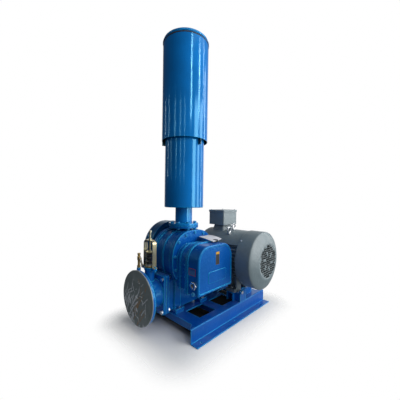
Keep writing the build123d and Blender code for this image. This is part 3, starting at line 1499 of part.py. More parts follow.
write(terminal_box, "terminal_box")

with BuildPart() as terminal_box_lid:
    with BuildSketch(Plane.XY.offset(lid_bottom)):
        with Locations((motor_x, box_centre_y)):
            RectangleRounded(box_length + 8, box_width + 8, 12)
    extrude(amount=box_lid)
    fillet(terminal_box_lid.edges().group_by(Axis.Z)[-1], 5)
    with BuildSketch(Plane.XY.offset(lid_bottom)):
        with Locations((motor_x, box_centre_y)):
            with GridLocations(2 * screw_x, 2 * screw_y, 2, 2):
                Circle(2.5)
    extrude(amount=box_lid, mode=Mode.SUBTRACT)
write(terminal_box_lid, "terminal_box_lid")

lid_screw_places = [
    Plane(origin=(motor_x + side * screw_x, box_centre_y + turn * screw_y, lid_bottom + box_lid))
    for side in (-1, 1) for turn in (-1, 1)]
terminal_lid_screws = hex_bolts(lid_screw_places, 8, 4, 5, box_lid + 12)
write(terminal_lid_screws, "terminal_lid_screws")

board_x = 34
with BuildPart() as terminal_board:
    with BuildSketch(Plane.XY.offset(box_bottom + box_wall)):
        with Locations((motor_x + board_x, box_centre_y)):
            Rectangle(60, 96)
    extrude(amount=14)
    with BuildSketch(Plane.XY.offset(box_bottom + box_wall + 14)):
        with Locations((motor_x + board_x, box_centre_y)):
            with GridLocations(26, 30, 2, 3):
                Circle(3.5)
    extrude(amount=16)
    with BuildSketch(Plane.XY.offset(box_bottom)):
        with Locations((motor_x, box_centre_y)):
            Circle(lead_hole / 2)
    extrude(amount=60, mode=Mode.SUBTRACT)
write(terminal_board, "terminal_board")

# Lifting eyes
eye_ring = 20
eye_wire = 6
with BuildPart() as eye_bolts:
    for x, y, foot, top in eye_places:
        with BuildSketch(upright(x, y)):
            with BuildLine():
                Polyline(
                    (0, top - 12), (6, top - 12), (6, top), (13, top), (13, top + 5), (8, top + 12), (0, top + 12),
                    close=True)
            make_face()
        revolve(axis=Axis((x, y, 0), (0, 0, 1)))
        middle = top + 8 + eye_ring
        with BuildSketch(Plane(origin=(x, y, middle), x_dir=(1, 0, 0), z_dir=(0, 0, 1))):
            with Locations((eye_ring, 0)):
                RegularPolygon(radius=eye_wire, side_count=10)
        revolve(axis=Axis((x, y, middle), (0, 1, 0)))
write(eye_bolts, "eye_bolts")

# Slide rails under the motor, a screw that pushes it to tighten the belts, and foot bolts
slide_rail_centre = slide_rail_start + slide_rail_length / 2
with BuildPart() as motor_slide_rails:
    for y in (motor_foot_front, motor_foot_rear):
        with BuildSketch(Plane.XY.offset(deck_height)):
            with Locations((slide_rail_centre, y)):
                Rectangle(slide_rail_length, slide_rail_width)
        extrude(amount=motor_foot_height - deck_height)
        with BuildSketch(Plane.XY.offset(deck_height)):
            with Locations((slide_rail_centre, y)):
                Rectangle(slide_rail_length, slide_rail_width - 2 * slide_rail_wall)
        extrude(amount=motor_foot_height - deck_height - slide_rail_wall, mode=Mode.SUBTRACT)
    with BuildSketch(Plane.XY.offset(motor_foot_height)):
        with Locations(*foot_centres):
            Circle(motor_bolt_hole / 2)
    extrude(amount=-slide_rail_wall, mode=Mode.SUBTRACT)
write(motor_slide_rails, "motor_slide_rails")

motor_bolt_places = [Plane(origin=(x, y, foot_top)) for x, y in foot_centres]
with BuildPart() as motor_foot_bolts:
    add(hex_bolts(motor_bolt_places, 24, 10, 16, foot_thickness + slide_rail_wall + 18).part)
    with BuildSketch(*[place.offset(-foot_thickness - slide_rail_wall) for place in motor_bolt_places]):
        RegularPolygon(radius=12, side_count=6, major_radius=False)
    extrude(amount=-13)
write(motor_foot_bolts, "motor_foot_bolts")

plate_left = 106
plate_right = 184
plate_y = -248
plate_gauge = 8
bracket_top = 174
bracket_rib_top = 150
rail_face = motor_foot_front - slide_rail_width / 2
screw_place = (124, 160)
screw_length = 35
with BuildPart() as tension_bracket:
    with BuildSketch(facing_front(plate_y)):
        with Locations(((plate_left + plate_right) / 2, (deck_height + bracket_top) / 2)):
            Rectangle(plate_right - plate_left, bracket_top - deck_height)
        with Locations(screw_place):
            Circle(7, mode=Mode.SUBTRACT)
    extrude(amount=-plate_gauge)
    with BuildSketch(Plane.YZ.offset(plate_left)):
        with Locations(((plate_y + rail_face) / 2, (deck_height + bracket_rib_top) / 2)):
            Rectangle(rail_face - plate_y, bracket_rib_top - deck_height)
    extrude(amount=plate_gauge)
write(tension_bracket, "tension_bracket")

screw_face = Plane(origin=(screw_place[0], plate_y, screw_place[1]), x_dir=(1, 0, 0), z_dir=(0, -1, 0))
with BuildPart() as tension_screw:
    add(hex_bolts([screw_face], 22, 9, 13.8, screw_length).part)
    with BuildSketch(screw_face.offset(-plate_gauge)):
        RegularPolygon(radius=11, side_count=6, major_radius=False)
    extrude(amount=-11)
write(tension_screw, "tension_screw")
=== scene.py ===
# %% [markdown]
# # A roots blower package
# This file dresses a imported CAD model: a lobed blower on a folded steel base, a belt-driven
# electric motor beside it, a tall inlet silencer on top and a discharge tee on the left. The CAD
# gives every rigid shape. Here come the finishes, the camera, the light, and the few thin things
# that a solid model doesn't hold well: crinkled film, paper, labels and fine perforation.

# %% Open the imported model
import json
import math
import random

import bmesh
import bpy
from mathutils import Matrix, Vector, noise


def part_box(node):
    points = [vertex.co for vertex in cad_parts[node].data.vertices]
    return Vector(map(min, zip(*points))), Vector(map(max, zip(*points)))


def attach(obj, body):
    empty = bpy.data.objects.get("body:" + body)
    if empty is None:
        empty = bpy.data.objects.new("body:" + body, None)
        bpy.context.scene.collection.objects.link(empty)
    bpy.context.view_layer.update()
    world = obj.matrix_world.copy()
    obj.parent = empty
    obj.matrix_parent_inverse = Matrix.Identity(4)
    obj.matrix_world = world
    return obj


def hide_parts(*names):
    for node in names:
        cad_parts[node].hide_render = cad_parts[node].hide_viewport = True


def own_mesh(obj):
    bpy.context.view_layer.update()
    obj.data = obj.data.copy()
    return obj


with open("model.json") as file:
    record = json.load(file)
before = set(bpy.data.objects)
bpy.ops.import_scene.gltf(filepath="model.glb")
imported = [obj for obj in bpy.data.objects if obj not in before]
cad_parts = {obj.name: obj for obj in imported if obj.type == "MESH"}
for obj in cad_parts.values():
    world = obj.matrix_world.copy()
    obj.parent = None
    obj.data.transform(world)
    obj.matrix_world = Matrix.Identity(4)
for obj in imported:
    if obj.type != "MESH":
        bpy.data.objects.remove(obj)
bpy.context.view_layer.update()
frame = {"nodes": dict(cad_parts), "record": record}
print("nodes loaded:", len(frame["nodes"]))

# %% [markdown]
# ## Camera
# The photograph was taken close by with a wide lens, at about the height of a person's chest, from
# in front of the discharge flange. A wide lens makes the near flange large and the lines of the
# base run together quickly, so the camera's place and its lens have to be set together. The axes of
# a camera are built from its heading, its tilt and its roll, as a photographer would say them.

# %% Place the camera
heading = math.radians(46.519)
tilt = math.radians(0.462)
roll = math.radians(0.768)
forward = Vector((math.cos(tilt) * math.sin(heading), math.cos(tilt) * math.cos(heading), math.sin(tilt)))
level_right = Vector((math.cos(heading), -math.sin(heading), 0))
level_up = level_right.cross(forward)
right = level_right * math.cos(roll) + level_up * math.sin(roll)
up = level_up * math.cos(roll) - level_right * math.sin(roll)
eye = Vector((-1.3462, -1.1947, 0.8427))
picture_width = 400
focal_pixels = 225.7

camera_data = bpy.data.cameras.new("camera")
camera_data.sensor_fit = "HORIZONTAL"
camera_data.sensor_width = 36
camera_data.lens = camera_data.sensor_width * focal_pixels / picture_width
camera = bpy.data.objects.new("camera", camera_data)
turn = Matrix((right, up, -forward)).transposed().to_4x4()
camera.matrix_world = Matrix.Translation(eye) @ turn
bpy.context.scene.collection.objects.link(camera)
bpy.context.scene.camera = camera
bpy.context.scene.view_settings.view_transform = "Standard"
print("lens in mm:", round(camera_data.lens, 2))

# %% [markdown]
# ## Light
# Gloss paint shows its lamps, and an upright cylinder shows each as a streak: a high lamp in its upper
# half and a low one in its lower half. Two wide soft boxes light the front from the right, so the side
# that faces the discharge stays dark. Three narrow lamps stand high for the white streaks on the right
# of the silencer's hood, and five stand low on the left for the thin ones. A soft box overhead gives
# the soft shadow under the base.

# %% Hang the lamps


lamp_distance = 4.0


def soft_box(name, azimuth, height, width, tall, watts, aim_height, distance=lamp_distance):
    """A rectangular lamp on a circle round the object, turned towards a height on its axis."""
    lamp_data = bpy.data.lights.new(name, "AREA")
    lamp_data.shape = "RECTANGLE"
    lamp_data.size = width
    lamp_data.size_y = tall
    lamp_data.energy = watts
    lamp = bpy.data.objects.new(name, lamp_data)
    angle = math.radians(azimuth)
    place = Vector((distance * math.cos(angle), distance * math.sin(angle), height))
    towards = (Vector((0, 0, aim_height)) - place).normalized()
    lamp.matrix_world = Matrix.Translation(place) @ towards.to_track_quat("-Z", "Y").to_matrix().to_4x4()
    bpy.context.scene.collection.objects.link(lamp)


soft_box("wide_box", -78, 1.7, 1.5, 3.2, 76, 1.6)
soft_box("right_box", -48, 1.7, 1.2, 3.2, 47, 1.6)
soft_box("right_strip", -20, 2.2, 0.3, 4.0, 24, 2.2)
for name, azimuth, width, watts in (
        ("high_left", -107, 0.2, 24), ("high_middle", -63, 0.2, 26), ("high_right", -35, 0.07, 6)):
    soft_box(name, azimuth, 3.8, width, 1.7, watts, 2.0)
for count, azimuth in enumerate((-137, -157, 178, 145, 120)):
    soft_box("low_strip_" + str(count), azimuth, 2.3, 0.06, 1.7, 3.5, 2.0)
soft_box("sky_box", -70, 4.2, 3.2, 3.2, 27, 0.9, distance=0.9)

# %% [markdown]
# ## Shader maths
# A material is a small program drawn as boxes and wires. Written as boxes it is long and hard to
# read, so one class wraps a socket and gives it Python's signs: adding two sockets makes an Add
# node. A second class opens a material's tree and makes any other node from its type, its
# settings and what goes into it.

# %% A socket that knows arithmetic


class Wire:
    """The output of a node, with Python's signs for the maths between outputs."""

    def __init__(self, bench, socket):
        self.bench = bench
        self.socket = socket

    def maths(self, operation, first, second=None, clamp=False):
        links = {0: first} if second is None else {0: first, 1: second}
        return self.bench.node("ShaderNodeMath", {"operation": operation, "use_clamp": clamp}, links)

    def __add__(self, other):
        return self.maths("ADD", self, other)

    def __sub__(self, other):
        return self.maths("SUBTRACT", self, other)

    def __mul__(self, other):
        return self.maths("MULTIPLY", self, other)

    def __pow__(self, other):
        return self.maths("POWER", self, other)

    def __radd__(self, other):
        return self.maths("ADD", other, self)

    def __rsub__(self, other):
        return self.maths("SUBTRACT", other, self)

    def clamped(self):
        return self.maths("ADD", self, 0.0, clamp=True)


# %% A material's tree, opened for work


class Bench:
    """A new material with one shader, whose nodes are made by type."""

    def __init__(self, name):
        self.material = bpy.data.materials.new(name)
        self.material.use_nodes = True
        self.tree = self.material.node_tree
        self.tree.nodes.clear()
        self.output = self.tree.nodes.new("ShaderNodeOutputMaterial")
        self.place = self.node("ShaderNodeTexCoord", out="Object")

    def node(self, kind, settings=None, links=None, out=0):
        made = self.tree.nodes.new(kind)
        for key, value in (settings or {}).items():
            if key == "stops":
                ramp = made.color_ramp
                for stop, (at, grey) in zip(ramp.elements, value):
                    stop.position = at
                    stop.color = (grey, grey, grey, 1)
            else:
                setattr(made, key, value)
        for key, value in (links or {}).items():
            if isinstance(value, Wire):
                self.tree.links.new(value.socket, made.inputs[key])
            else:
                made.inputs[key].default_value = value
        return Wire(self, made.outputs[out])

    def speckle(self, scale, detail=3.0, roughness=0.5, stretch=None):
        where = self.place
        if stretch:
            where = self.node("ShaderNodeMapping", links={"Vector": where, "Scale": stretch})
        links = {"Vector": where, "Scale": scale, "Detail": detail, "Roughness": roughness}
        return self.node("ShaderNodeTexNoise", links=links)

    def steps(self, value, stops):
        return self.node("ShaderNodeValToRGB", {"stops": stops}, {"Fac": value})

    def blend(self, share, first, second):
        made = self.tree.nodes.new("ShaderNodeMix")
        made.data_type = "RGBA"
        for socket, value in ((made.inputs[0], share), (made.inputs[6], first), (made.inputs[7], second)):
            if isinstance(value, Wire):
                self.tree.links.new(value.socket, socket)
            elif isinstance(value, tuple):
                socket.default_value = (*value, 1)
            else:
                socket.default_value = value
        return Wire(self, made.outputs[2])

    def part(self, vector, axis):
        return self.node("ShaderNodeSeparateXYZ", links={0: vector}, out=axis)

    def size_of(self, value):
        return self.node("ShaderNodeMath", {"operation": "ABSOLUTE"}, {0: value})

    def bump(self, height, strength, distance=0.001, normal=None):
        links = {"Height": height, "Strength": strength, "Distance": distance}
        if normal:
            links["Normal"] = normal
        return self.node("ShaderNodeBump", links=links)

    def shader(self, **values):
        made = self.tree.nodes.new("ShaderNodeBsdfPrincipled")
        for key, value in values.items():
            socket = made.inputs[key.replace("_", " ")]
            if isinstance(value, Wire):
                self.tree.links.new(value.socket, socket)
            elif isinstance(value, tuple):
                socket.default_value = (*value, 1)
            else:
                socket.default_value = value
        self.tree.links.new(made.outputs[0], self.output.inputs[0])
        return self.material


# %% [markdown]
# ## Paint
# Nearly everything here is painted. Real enamel on castings and folded sheet isn't flat: it lies
# thicker in places, carries a fine orange peel and dulls where dust settles on faces that look up.
# Along edges its colour turns brighter, a painted highlight. The Bevel node finds the edges of a sharp
# CAD mesh: it gives a rounded normal, and where that leans away from the flat one there is an edge.

# %% One recipe for every paint


edge_reach = 0.005
edge_highlight_gain = 14.0
edge_highlight_share = 0.9
dust_colour = (0.42, 0.44, 0.45)
inner_shade_colour = (0.004, 0.006, 0.01)
blue_sheen = (0.12, 0.72, 1.0)
pale_sheen = (0.25, 0.8, 1.0)
white_sheen = (1.0, 1.0, 1.0)


def paint(
        name, colour, edge_highlight_colour, gloss, peel, cast=0.0, rolled=0.0, sheen=blue_sheen, dust=0.1,
        inner_shade=None):
    """Enamel with orange peel, a painted highlight along edges, cloudy gloss and dust on upward faces.

    A casting has lumps and grain under its paint, and a rolled sheet has faint upright waves. The
    inside of an upright tube can be painted dark as painted shade, given as the place of its axis and its
    radius.
    """
    bench = Bench(name)
    cloud = bench.speckle(3.2, 4.0, 0.6)
    fine = bench.speckle(60.0, 2.0)
    deep = tuple(part * 0.78 for part in colour)
    shade = bench.blend(bench.steps(cloud, [(0.35, 0.0), (0.65, 1.0)]), deep, colour)
    bevel = bench.node("ShaderNodeBevel", {"samples": 4}, {"Radius": edge_reach})
    flat = bench.node("ShaderNodeNewGeometry", out="Normal")
    same = bench.node(
        "ShaderNodeVectorMath", {"operation": "DOT_PRODUCT"}, {0: bevel, 1: flat}, out="Value")
    # Along edges the colour is blended towards a brighter one: a painted highlight.
    edge = ((1.0 - same) * edge_highlight_gain * (0.4 + fine)).clamped()
    shade = bench.blend(edge * edge_highlight_share, shade, edge_highlight_colour)
    upward = bench.part(flat, "Z")
    settled = bench.steps(bench.speckle(9.0, 5.0, 0.65), [(0.42, 0.0), (0.72, 1.0)])
    dusty = (upward.clamped() ** 3.0) * settled * dust
    shade = bench.blend(dusty, shade, dust_colour)
    height = bench.speckle(380.0, 2.0) * peel
    if cast:
        grain = bench.speckle(150.0, 5.0, 0.7) * cast
        lumps = bench.speckle(34.0, 3.0) * (cast * 11.0)
        height = height + grain + lumps
    if rolled:
        height = height + bench.speckle(16.0, 3.0, 0.6, (1.0, 1.0, 0.02)) * rolled
    # Inside an upright tube the colour is painted dark: painted shade.
    if inner_shade:
        axis_x, axis_y, inner_radius = inner_shade
        aside = bench.part(bench.place, "X") - axis_x
        deep_in = bench.part(bench.place, "Y") - axis_y
        from_axis = (aside * aside + deep_in * deep_in) ** 0.5
        shaded_inside = ((inner_radius - from_axis) * 2000.0).clamped()
        shade = bench.blend(shaded_inside, shade, inner_shade_colour)
    rough = gloss + cloud * 0.06 + dusty * 0.5
    normal = bench.bump(height, 1.0, 0.0006, bevel)
    return bench.shader(
        Base_Color=shade, Roughness=rough, Normal=normal, Coat_Weight=0.06, Coat_Roughness=0.08,
        Specular_IOR_Level=1.0, Specular_Tint=sheen)


# The bright cyan of the painted edge highlight on rolled sheet.
painted_edge_highlight = (0.01, 0.5, 0.92)
rolled_blue = {
    "colour": (0.001, 0.19, 0.62), "edge_highlight_colour": painted_edge_highlight, "gloss": 0.1, "peel": 0.1, "rolled": 2.0,
    "sheen": pale_sheen, "dust": 0.04}
finishes = {
    "blue_paint": paint("machine_blue", (0.001, 0.1, 0.46), (0.03, 0.62, 1.0), 0.24, 0.4, cast=0.4),
    "silencer_paint": paint("silencer_blue", **rolled_blue),
    "hood_paint": paint("hood_blue", inner_shade=(-0.194, 0.065, 0.1695), **rolled_blue),
    # The guard's navy is darker than the machine blue: painted shade on its seen side, which faces away
    # from the lamps.
    "guard_paint": paint("guard_navy_shaded", (0.002, 0.055, 0.2), (0.02, 0.3, 0.62), 0.3, 0.3),
    # The base's blue is a darker copy of the machine blue: painted shade, for the deck in the machine's
    # shadow.
    "shaded_base_paint": paint("base_blue_shaded", (0.001, 0.08, 0.43), (0.02, 0.52, 0.95), 0.26, 0.4, cast=0.2),
    "tee_paint": paint(
        "tee_blue", (0.001, 0.12, 0.5), (0.04, 0.75, 1.0), 0.15, 0.5, cast=0.5, sheen=(0.25, 0.85, 1.0)),
    "box_paint": paint(
        "box_slate", (0.22, 0.28, 0.3), (0.46, 0.52, 0.54), 0.42, 0.3, cast=0.2, sheen=white_sheen),
    "motor_paint": paint(
        "motor_slate", (0.18, 0.235, 0.255), (0.44, 0.5, 0.52), 0.42, 0.3, cast=0.3, sheen=white_sheen),
    "drain_paint": paint("plug_sky_blue", (0.03, 0.33, 0.75), (0.3, 0.7, 0.95), 0.3, 0.3),
    "blue_bolts": paint("painted_bolts", (0.004, 0.17, 0.5), (0.08, 0.55, 0.9), 0.32, 0.5, cast=0.5)}
print("paints:", len(finishes))

# %% [markdown]
# ## Metal, rubber and plastic
# Bare metal differs by how it was made: zinc plating is bright with cloudy stains, yellow zinc
# drifts between straw and pink, brass is warm and a little dull, turned steel has fine rings, and
# cast iron is grey and grainy. One recipe covers them, with its grain stretched where it was turned.

# %% Bare metals


def bare_metal(name, light, dark, rough, grain, stretch=None, spots=None):
    """Metal that drifts between two tones, with stains and a fine grain."""
    bench = Bench(name)
    drift = bench.steps(bench.speckle(22.0, 4.0, 0.6), [(0.3, 0.0), (0.7, 1.0)])
    shade = bench.blend(drift, dark, light)
    if spots:
        stain = bench.steps(bench.speckle(70.0, 5.0, 0.7), [(0.58, 0.0), (0.7, 1.0)])
        shade = bench.blend(stain * 0.7, shade, spots)
    height = bench.speckle(grain, 3.0, 0.6, stretch)
    bevel = bench.node("ShaderNodeBevel", {"samples": 4}, {"Radius": 0.0012})
    normal = bench.bump(height, 0.35, 0.0004, bevel)
    return bench.shader(Base_Color=shade, Roughness=rough + drift * 0.12, Normal=normal, Metallic=1.0)


finishes.update({
    "zinc_bolts": bare_metal(
        "bright_zinc", (0.84, 0.86, 0.88), (0.62, 0.63, 0.65), 0.2, 300.0, spots=(0.3, 0.2, 0.12)),
    "yellow_zinc": bare_metal(
        "yellow_zinc_plate", (0.72, 0.63, 0.34), (0.5, 0.5, 0.42), 0.26, 220.0, spots=(0.62, 0.45, 0.3)),
    "brass": bare_metal(
        "dull_brass", (0.72, 0.5, 0.2), (0.48, 0.32, 0.13), 0.3, 260.0, spots=(0.2, 0.13, 0.06)),
    "lever_steel": bare_metal("plated_lever", (0.7, 0.68, 0.6), (0.48, 0.46, 0.4), 0.3, 240.0),
    "machined_steel": bare_metal(
        "turned_steel", (0.6, 0.61, 0.62), (0.48, 0.49, 0.5), 0.26, 160.0, stretch=(1.0, 14.0, 1.0)),
    "laminated_steel": bare_metal(
        "stacked_laminations", (0.35, 0.36, 0.38), (0.2, 0.21, 0.22), 0.42, 120.0,
        stretch=(1.0, 30.0, 1.0)),
    "cast_rotor": bare_metal(
        "grey_iron", (0.3, 0.3, 0.3), (0.2, 0.2, 0.2), 0.5, 420.0, spots=(0.16, 0.1, 0.06)),
    "winding_copper": bare_metal(
        "varnished_copper", (0.6, 0.25, 0.1), (0.4, 0.16, 0.06), 0.35, 180.0, stretch=(1.0, 1.0, 9.0))})
print("metals and paints:", len(finishes))

# %% Rubber, plastic, felt and glass


def dull(name, light, dark, rough, grain, bumpy):
    """A plain material with a drifting tone and a fine grain in its surface."""
    bench = Bench(name)
    drift = bench.steps(bench.speckle(14.0, 4.0, 0.6), [(0.3, 0.0), (0.7, 1.0)])
    height = bench.speckle(grain, 4.0, 0.7)
    return bench.shader(
        Base_Color=bench.blend(drift, dark, light), Roughness=rough + height * 0.1,
        Normal=bench.bump(height, bumpy, 0.0005))


for slot, name, light, dark, rough, grain, bumpy in (
        ("belt_rubber", "belt_rubber", (0.03, 0.03, 0.03), (0.012, 0.012, 0.012), 0.68, 500.0, 0.5),
        ("seal_rubber", "seal_rubber", (0.035, 0.035, 0.04), (0.015, 0.015, 0.018), 0.6, 400.0, 0.4),
        ("plug_plastic", "black_plug", (0.02, 0.02, 0.024), (0.008, 0.008, 0.01), 0.34, 320.0, 0.3),
        ("fan_plastic", "fan_plastic", (0.03, 0.03, 0.034), (0.016, 0.016, 0.018), 0.5, 260.0, 0.3),
        ("board_plastic", "board_plastic", (0.12, 0.075, 0.04), (0.07, 0.04, 0.022), 0.4, 300.0, 0.25),
        ("filter_felt", "filter_felt", (0.72, 0.68, 0.56), (0.56, 0.52, 0.42), 0.95, 220.0, 1.0),
        ("black_steel", "spring_black", (0.02, 0.02, 0.022), (0.006, 0.006, 0.007), 0.38, 260.0, 0.3)):
    finishes[slot] = dull(name, light, dark, rough, grain, bumpy)

oil_level = 0.334
lens_bench = Bench("sight_glass")
oil = ((oil_level - lens_bench.part(lens_bench.place, "Z")) * 900.0).clamped()
finishes["clear_glass"] = lens_bench.shader(
    Base_Color=lens_bench.blend(oil, (0.05, 0.06, 0.06), (0.1, 0.06, 0.02)), Roughness=0.08,
    Coat_Weight=1.0, Coat_Roughness=0.03,
    Normal=lens_bench.bump(lens_bench.speckle(90.0), 0.1, 0.0004))
print("finishes:", len(finishes))

# %% Put each finish on its nodes
slot_of = {entry["node"]: entry["material_slot"] for entry in frame["record"]["subparts"]}
for node, slot in slot_of.items():
    for place in frame["nodes"][node].material_slots:
        place.material = finishes[slot]
own_finish = {
    "side_plate_bolts": "blue_bolts", "gear_case_bolts": "blue_bolts", "inlet_bolts": "blue_bolts",
    "eye_bolts": "zinc_bolts", "silencer_hood": "hood_paint", "base_frame": "shaded_base_paint",
    "discharge_tee": "tee_paint", "terminal_box": "box_paint", "terminal_box_lid": "box_paint"}
for node, finish in own_finish.items():
    frame["nodes"][node].material_slots[0].material = finishes[finish]
print("dressed nodes:", len(slot_of))

# %% [markdown]
# ## Helpers for new pieces
# Each new piece starts as a bmesh and ends as one object at the origin, with its place in its mesh.
# The first helper links it, smooths what should be smooth, and parents it to an empty for its body.
# The second gives a skin the thickness of its sheet, and the third spins a profile into a skin.

# %% Finish a bmesh as a piece


def keep(name, shape, finish, smooth=True, body="package"):
    """Turn a bmesh into a linked object that rides on a body."""
    mesh = bpy.data.meshes.new(name)
    bmesh.ops.recalc_face_normals(shape, faces=shape.faces)
    shape.to_mesh(mesh)
    shape.free()
    mesh.materials.append(finish)
    if smooth:
        mesh.shade_smooth()
    piece = bpy.data.objects.new(name, mesh)
    bpy.context.scene.collection.objects.link(piece)
    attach(piece, body)
    print(name, "faces:", len(mesh.polygons))
    return piece


def sheet_metal(piece, thickness, offset):
    """Give a piece of one skin the thickness of its sheet."""
    wall = piece.modifiers.new("sheet", "SOLIDIFY")
    wall.thickness = thickness
    wall.offset = offset
    return wall


def spin_profile(points, centre, axis, steps):
    """Spin a row of points round an axis into one closed skin."""
    shape = bmesh.new()
    corners = [shape.verts.new(point) for point in points]
    for first, second in zip(corners, corners[1:]):
        shape.edges.new((first, second))
    bmesh.ops.spin(
        shape, geom=shape.verts[:] + shape.edges[:], cent=centre, axis=axis, angle=math.tau, steps=steps,
        use_merge=True)
    bmesh.ops.remove_doubles(shape, verts=shape.verts, dist=0.00005)
    return shape


# %% [markdown]
# ## Crinkled film over the discharge flange
# The open flange is closed for transport with grey stretch film. It lies on the flat face, sinks a
# little over the bore and turns a few millimetres over the rim. Its creases are straight and mostly
# lean the same way: each has a place, a direction, a length and a width, and all are drawn from one
# seeded source. Many are painted near white, a painted glint on their ridges; these crowd the edge
# farther from the camera, and most brown ones lie low.

# %% Scatter the creases
flange_centre = Vector((-0.58, 0.065, 0.232))
flange_radius = 0.170
chance = random.Random(11)


def crease_field(count, lean, spread, lengths, widths, middle, reach):
    """Creases round a point of the disc, as place, direction, half length and half width."""
    field = []
    for _ in range(count):
        angle = chance.uniform(0, math.tau)
        out = reach * math.sqrt(chance.random())
        turned = chance.gauss(lean, spread)
        field.append((
            middle[0] + out * math.cos(angle), middle[1] + out * math.sin(angle), -math.sin(turned),
            math.cos(turned), chance.uniform(*lengths), chance.uniform(*widths)))
    return field


fine = (0.002, 0.0036)
scuffed = (0.002, 0.0034)
middling = (0.003, 0.0052)
broad = (0.004, 0.0085)
glinting_creases = (
    crease_field(18, 0.5, 0.35, (0.03, 0.085), middling, (0.085, 0.2), 0.145)
    + crease_field(30, 0.3, 0.35, (0.014, 0.05), broad, (0.15, 0.15), 0.09)
    + crease_field(18, -0.5, 0.8, (0.008, 0.028), middling, (0.05, 0.14), 0.1)
    + crease_field(9, 0.9, 0.5, (0.008, 0.03), fine, (0.06, 0.29), 0.07))
brown_creases = (
    crease_field(13, 0.6, 0.08, (0.03, 0.085), scuffed, (0.05, 0.165), 0.08)
    + crease_field(4, 0.3, 0.3, (0.02, 0.05), scuffed, (0.0, 0.32), 0.05))


def ridge(side, tall, creases):
    """How far up its nearest crease a point of the disc lies, from 0 to 1."""
    best = 0.0
    for middle_side, middle_tall, run_side, run_tall, half_length, half_width in creases:
        from_side = side - middle_side
        from_tall = tall - middle_tall
        onward = abs(from_side * run_side + from_tall * run_tall) / half_length
        aside = abs(from_side * run_tall - from_tall * run_side) / half_width
        if onward < 1 and aside < 1:
            best = max(best, 1 - aside - onward ** 3)
    return best


# %% Stretch the film
rings = 84
spokes = 320
face_gap = 0.0012
bore_radius = 0.105
bore_sink = 0.004
turn_step = 0.0014
turn_steps = 4
profile = []
for ring in range(rings + 1):
    reach = flange_radius * ring / rings
    sink = bore_sink * max(0.0, 1 - (reach / bore_radius) ** 2)
    profile.append(flange_centre + Vector((sink - face_gap, 0, reach)))
for step in range(1, turn_steps + 1):
    profile.append(flange_centre + Vector((turn_step * step - face_gap, 0, flange_radius + face_gap)))
film = spin_profile(profile, flange_centre, (1, 0, 0), spokes)

crease_wander = 0.004
crease_height = 0.0022
fold_height = 0.0012
pull_height = 0.001
rim_ripple = 0.0012
rim_slack = 0.0006
deepest = -0.0006
glint_ridge_at = {}
brown_at = {}
for point in film.verts:
    away = point.co - flange_centre
    reach = math.hypot(away.y, away.z)
    swirl = math.atan2(away.z, away.y)
    fold = noise.noise(Vector((away.y * 26, away.z * 26, 3.1)))
    pull = noise.noise(Vector((swirl * 5.5, reach * 9, 1.7)))
    side = point.co.y + crease_wander * noise.noise(Vector((away.y * 34, away.z * 34, 5.2)))
    tall = point.co.z + crease_wander * noise.noise(Vector((away.y * 34, away.z * 34, 9.6)))
    glint_ridge_at[point] = ridge(side, tall, glinting_creases)
    brown_at[point] = ridge(side, tall, brown_creases)
    crease = max(glint_ridge_at[point], brown_at[point] * 0.7)
    lift = fold_height * fold + pull_height * pull + crease_height * crease
    if reach < flange_radius - 0.0005:
        point.co.x -= max(deepest, lift)
    else:
        grown = 1 + max(0.0, rim_ripple * pull + rim_slack) / reach
        point.co.y = flange_centre.y + away.y * grown
        point.co.z = flange_centre.z + away.z * grown

# %% Mark the faces on creases
grey_film, glint_crease, brown_crease = range(3)
glint_from = 0.22
brown_from = 0.25
raggedness = 0.5
# Faces high on a pale crease get the near-white finish, a painted glint; the brown creases keep their own
# colour.
for face in film.faces:
    glint_share = sum(glint_ridge_at[point] for point in face.verts) / len(face.verts)
    brown = sum(brown_at[point] for point in face.verts) / len(face.verts)
    middle = face.calc_center_median()
    broken = noise.noise(Vector((middle.y * 60, middle.z * 60, 2.2)))
    if glint_share > glint_from + raggedness * max(0.0, broken):
        face.material_index = glint_crease
    elif brown > brown_from:
        face.material_index = brown_crease

# %% The film's finishes


def film_finish(name, light, dark, rough):
    """Stretch film: a drifting tone, a fine ripple and a clear gloss."""
    bench = Bench(name)
    drift = bench.speckle(9.0, 3.0)
    ripple = bench.speckle(30.0, 3.0)
    return bench.shader(
        Base_Color=bench.blend(drift, dark, light), Roughness=rough + ripple * 0.15, Coat_Weight=0.5,
        Coat_Roughness=0.1, Normal=bench.bump(ripple, 1.0, 0.0014))


film_finishes = [
    film_finish("grey_film", (0.36, 0.4, 0.41), (0.16, 0.2, 0.21), 0.24),
    # Near white: the painted glint on crease ridges.
    film_finish("glint_crease", (0.95, 0.96, 1.0), (0.6, 0.63, 0.7), 0.16),
    film_finish("brown_crease", (0.6, 0.36, 0.19), (0.3, 0.17, 0.08), 0.4)]
wrap = keep("flange_film", film, film_finishes[grey_film])
wrap.data.materials.append(film_finishes[glint_crease])
wrap.data.materials.append(film_finishes[brown_crease])

# %% [markdown]
# ## Card tag on the oil filler
# A stiff white card with a punched hole hangs on the filler plug and leans back against the side
# plate. A grid is laid between its four corners and arched a little, its cells at the plug are left
# out, and the sheet is then given the thickness of card.

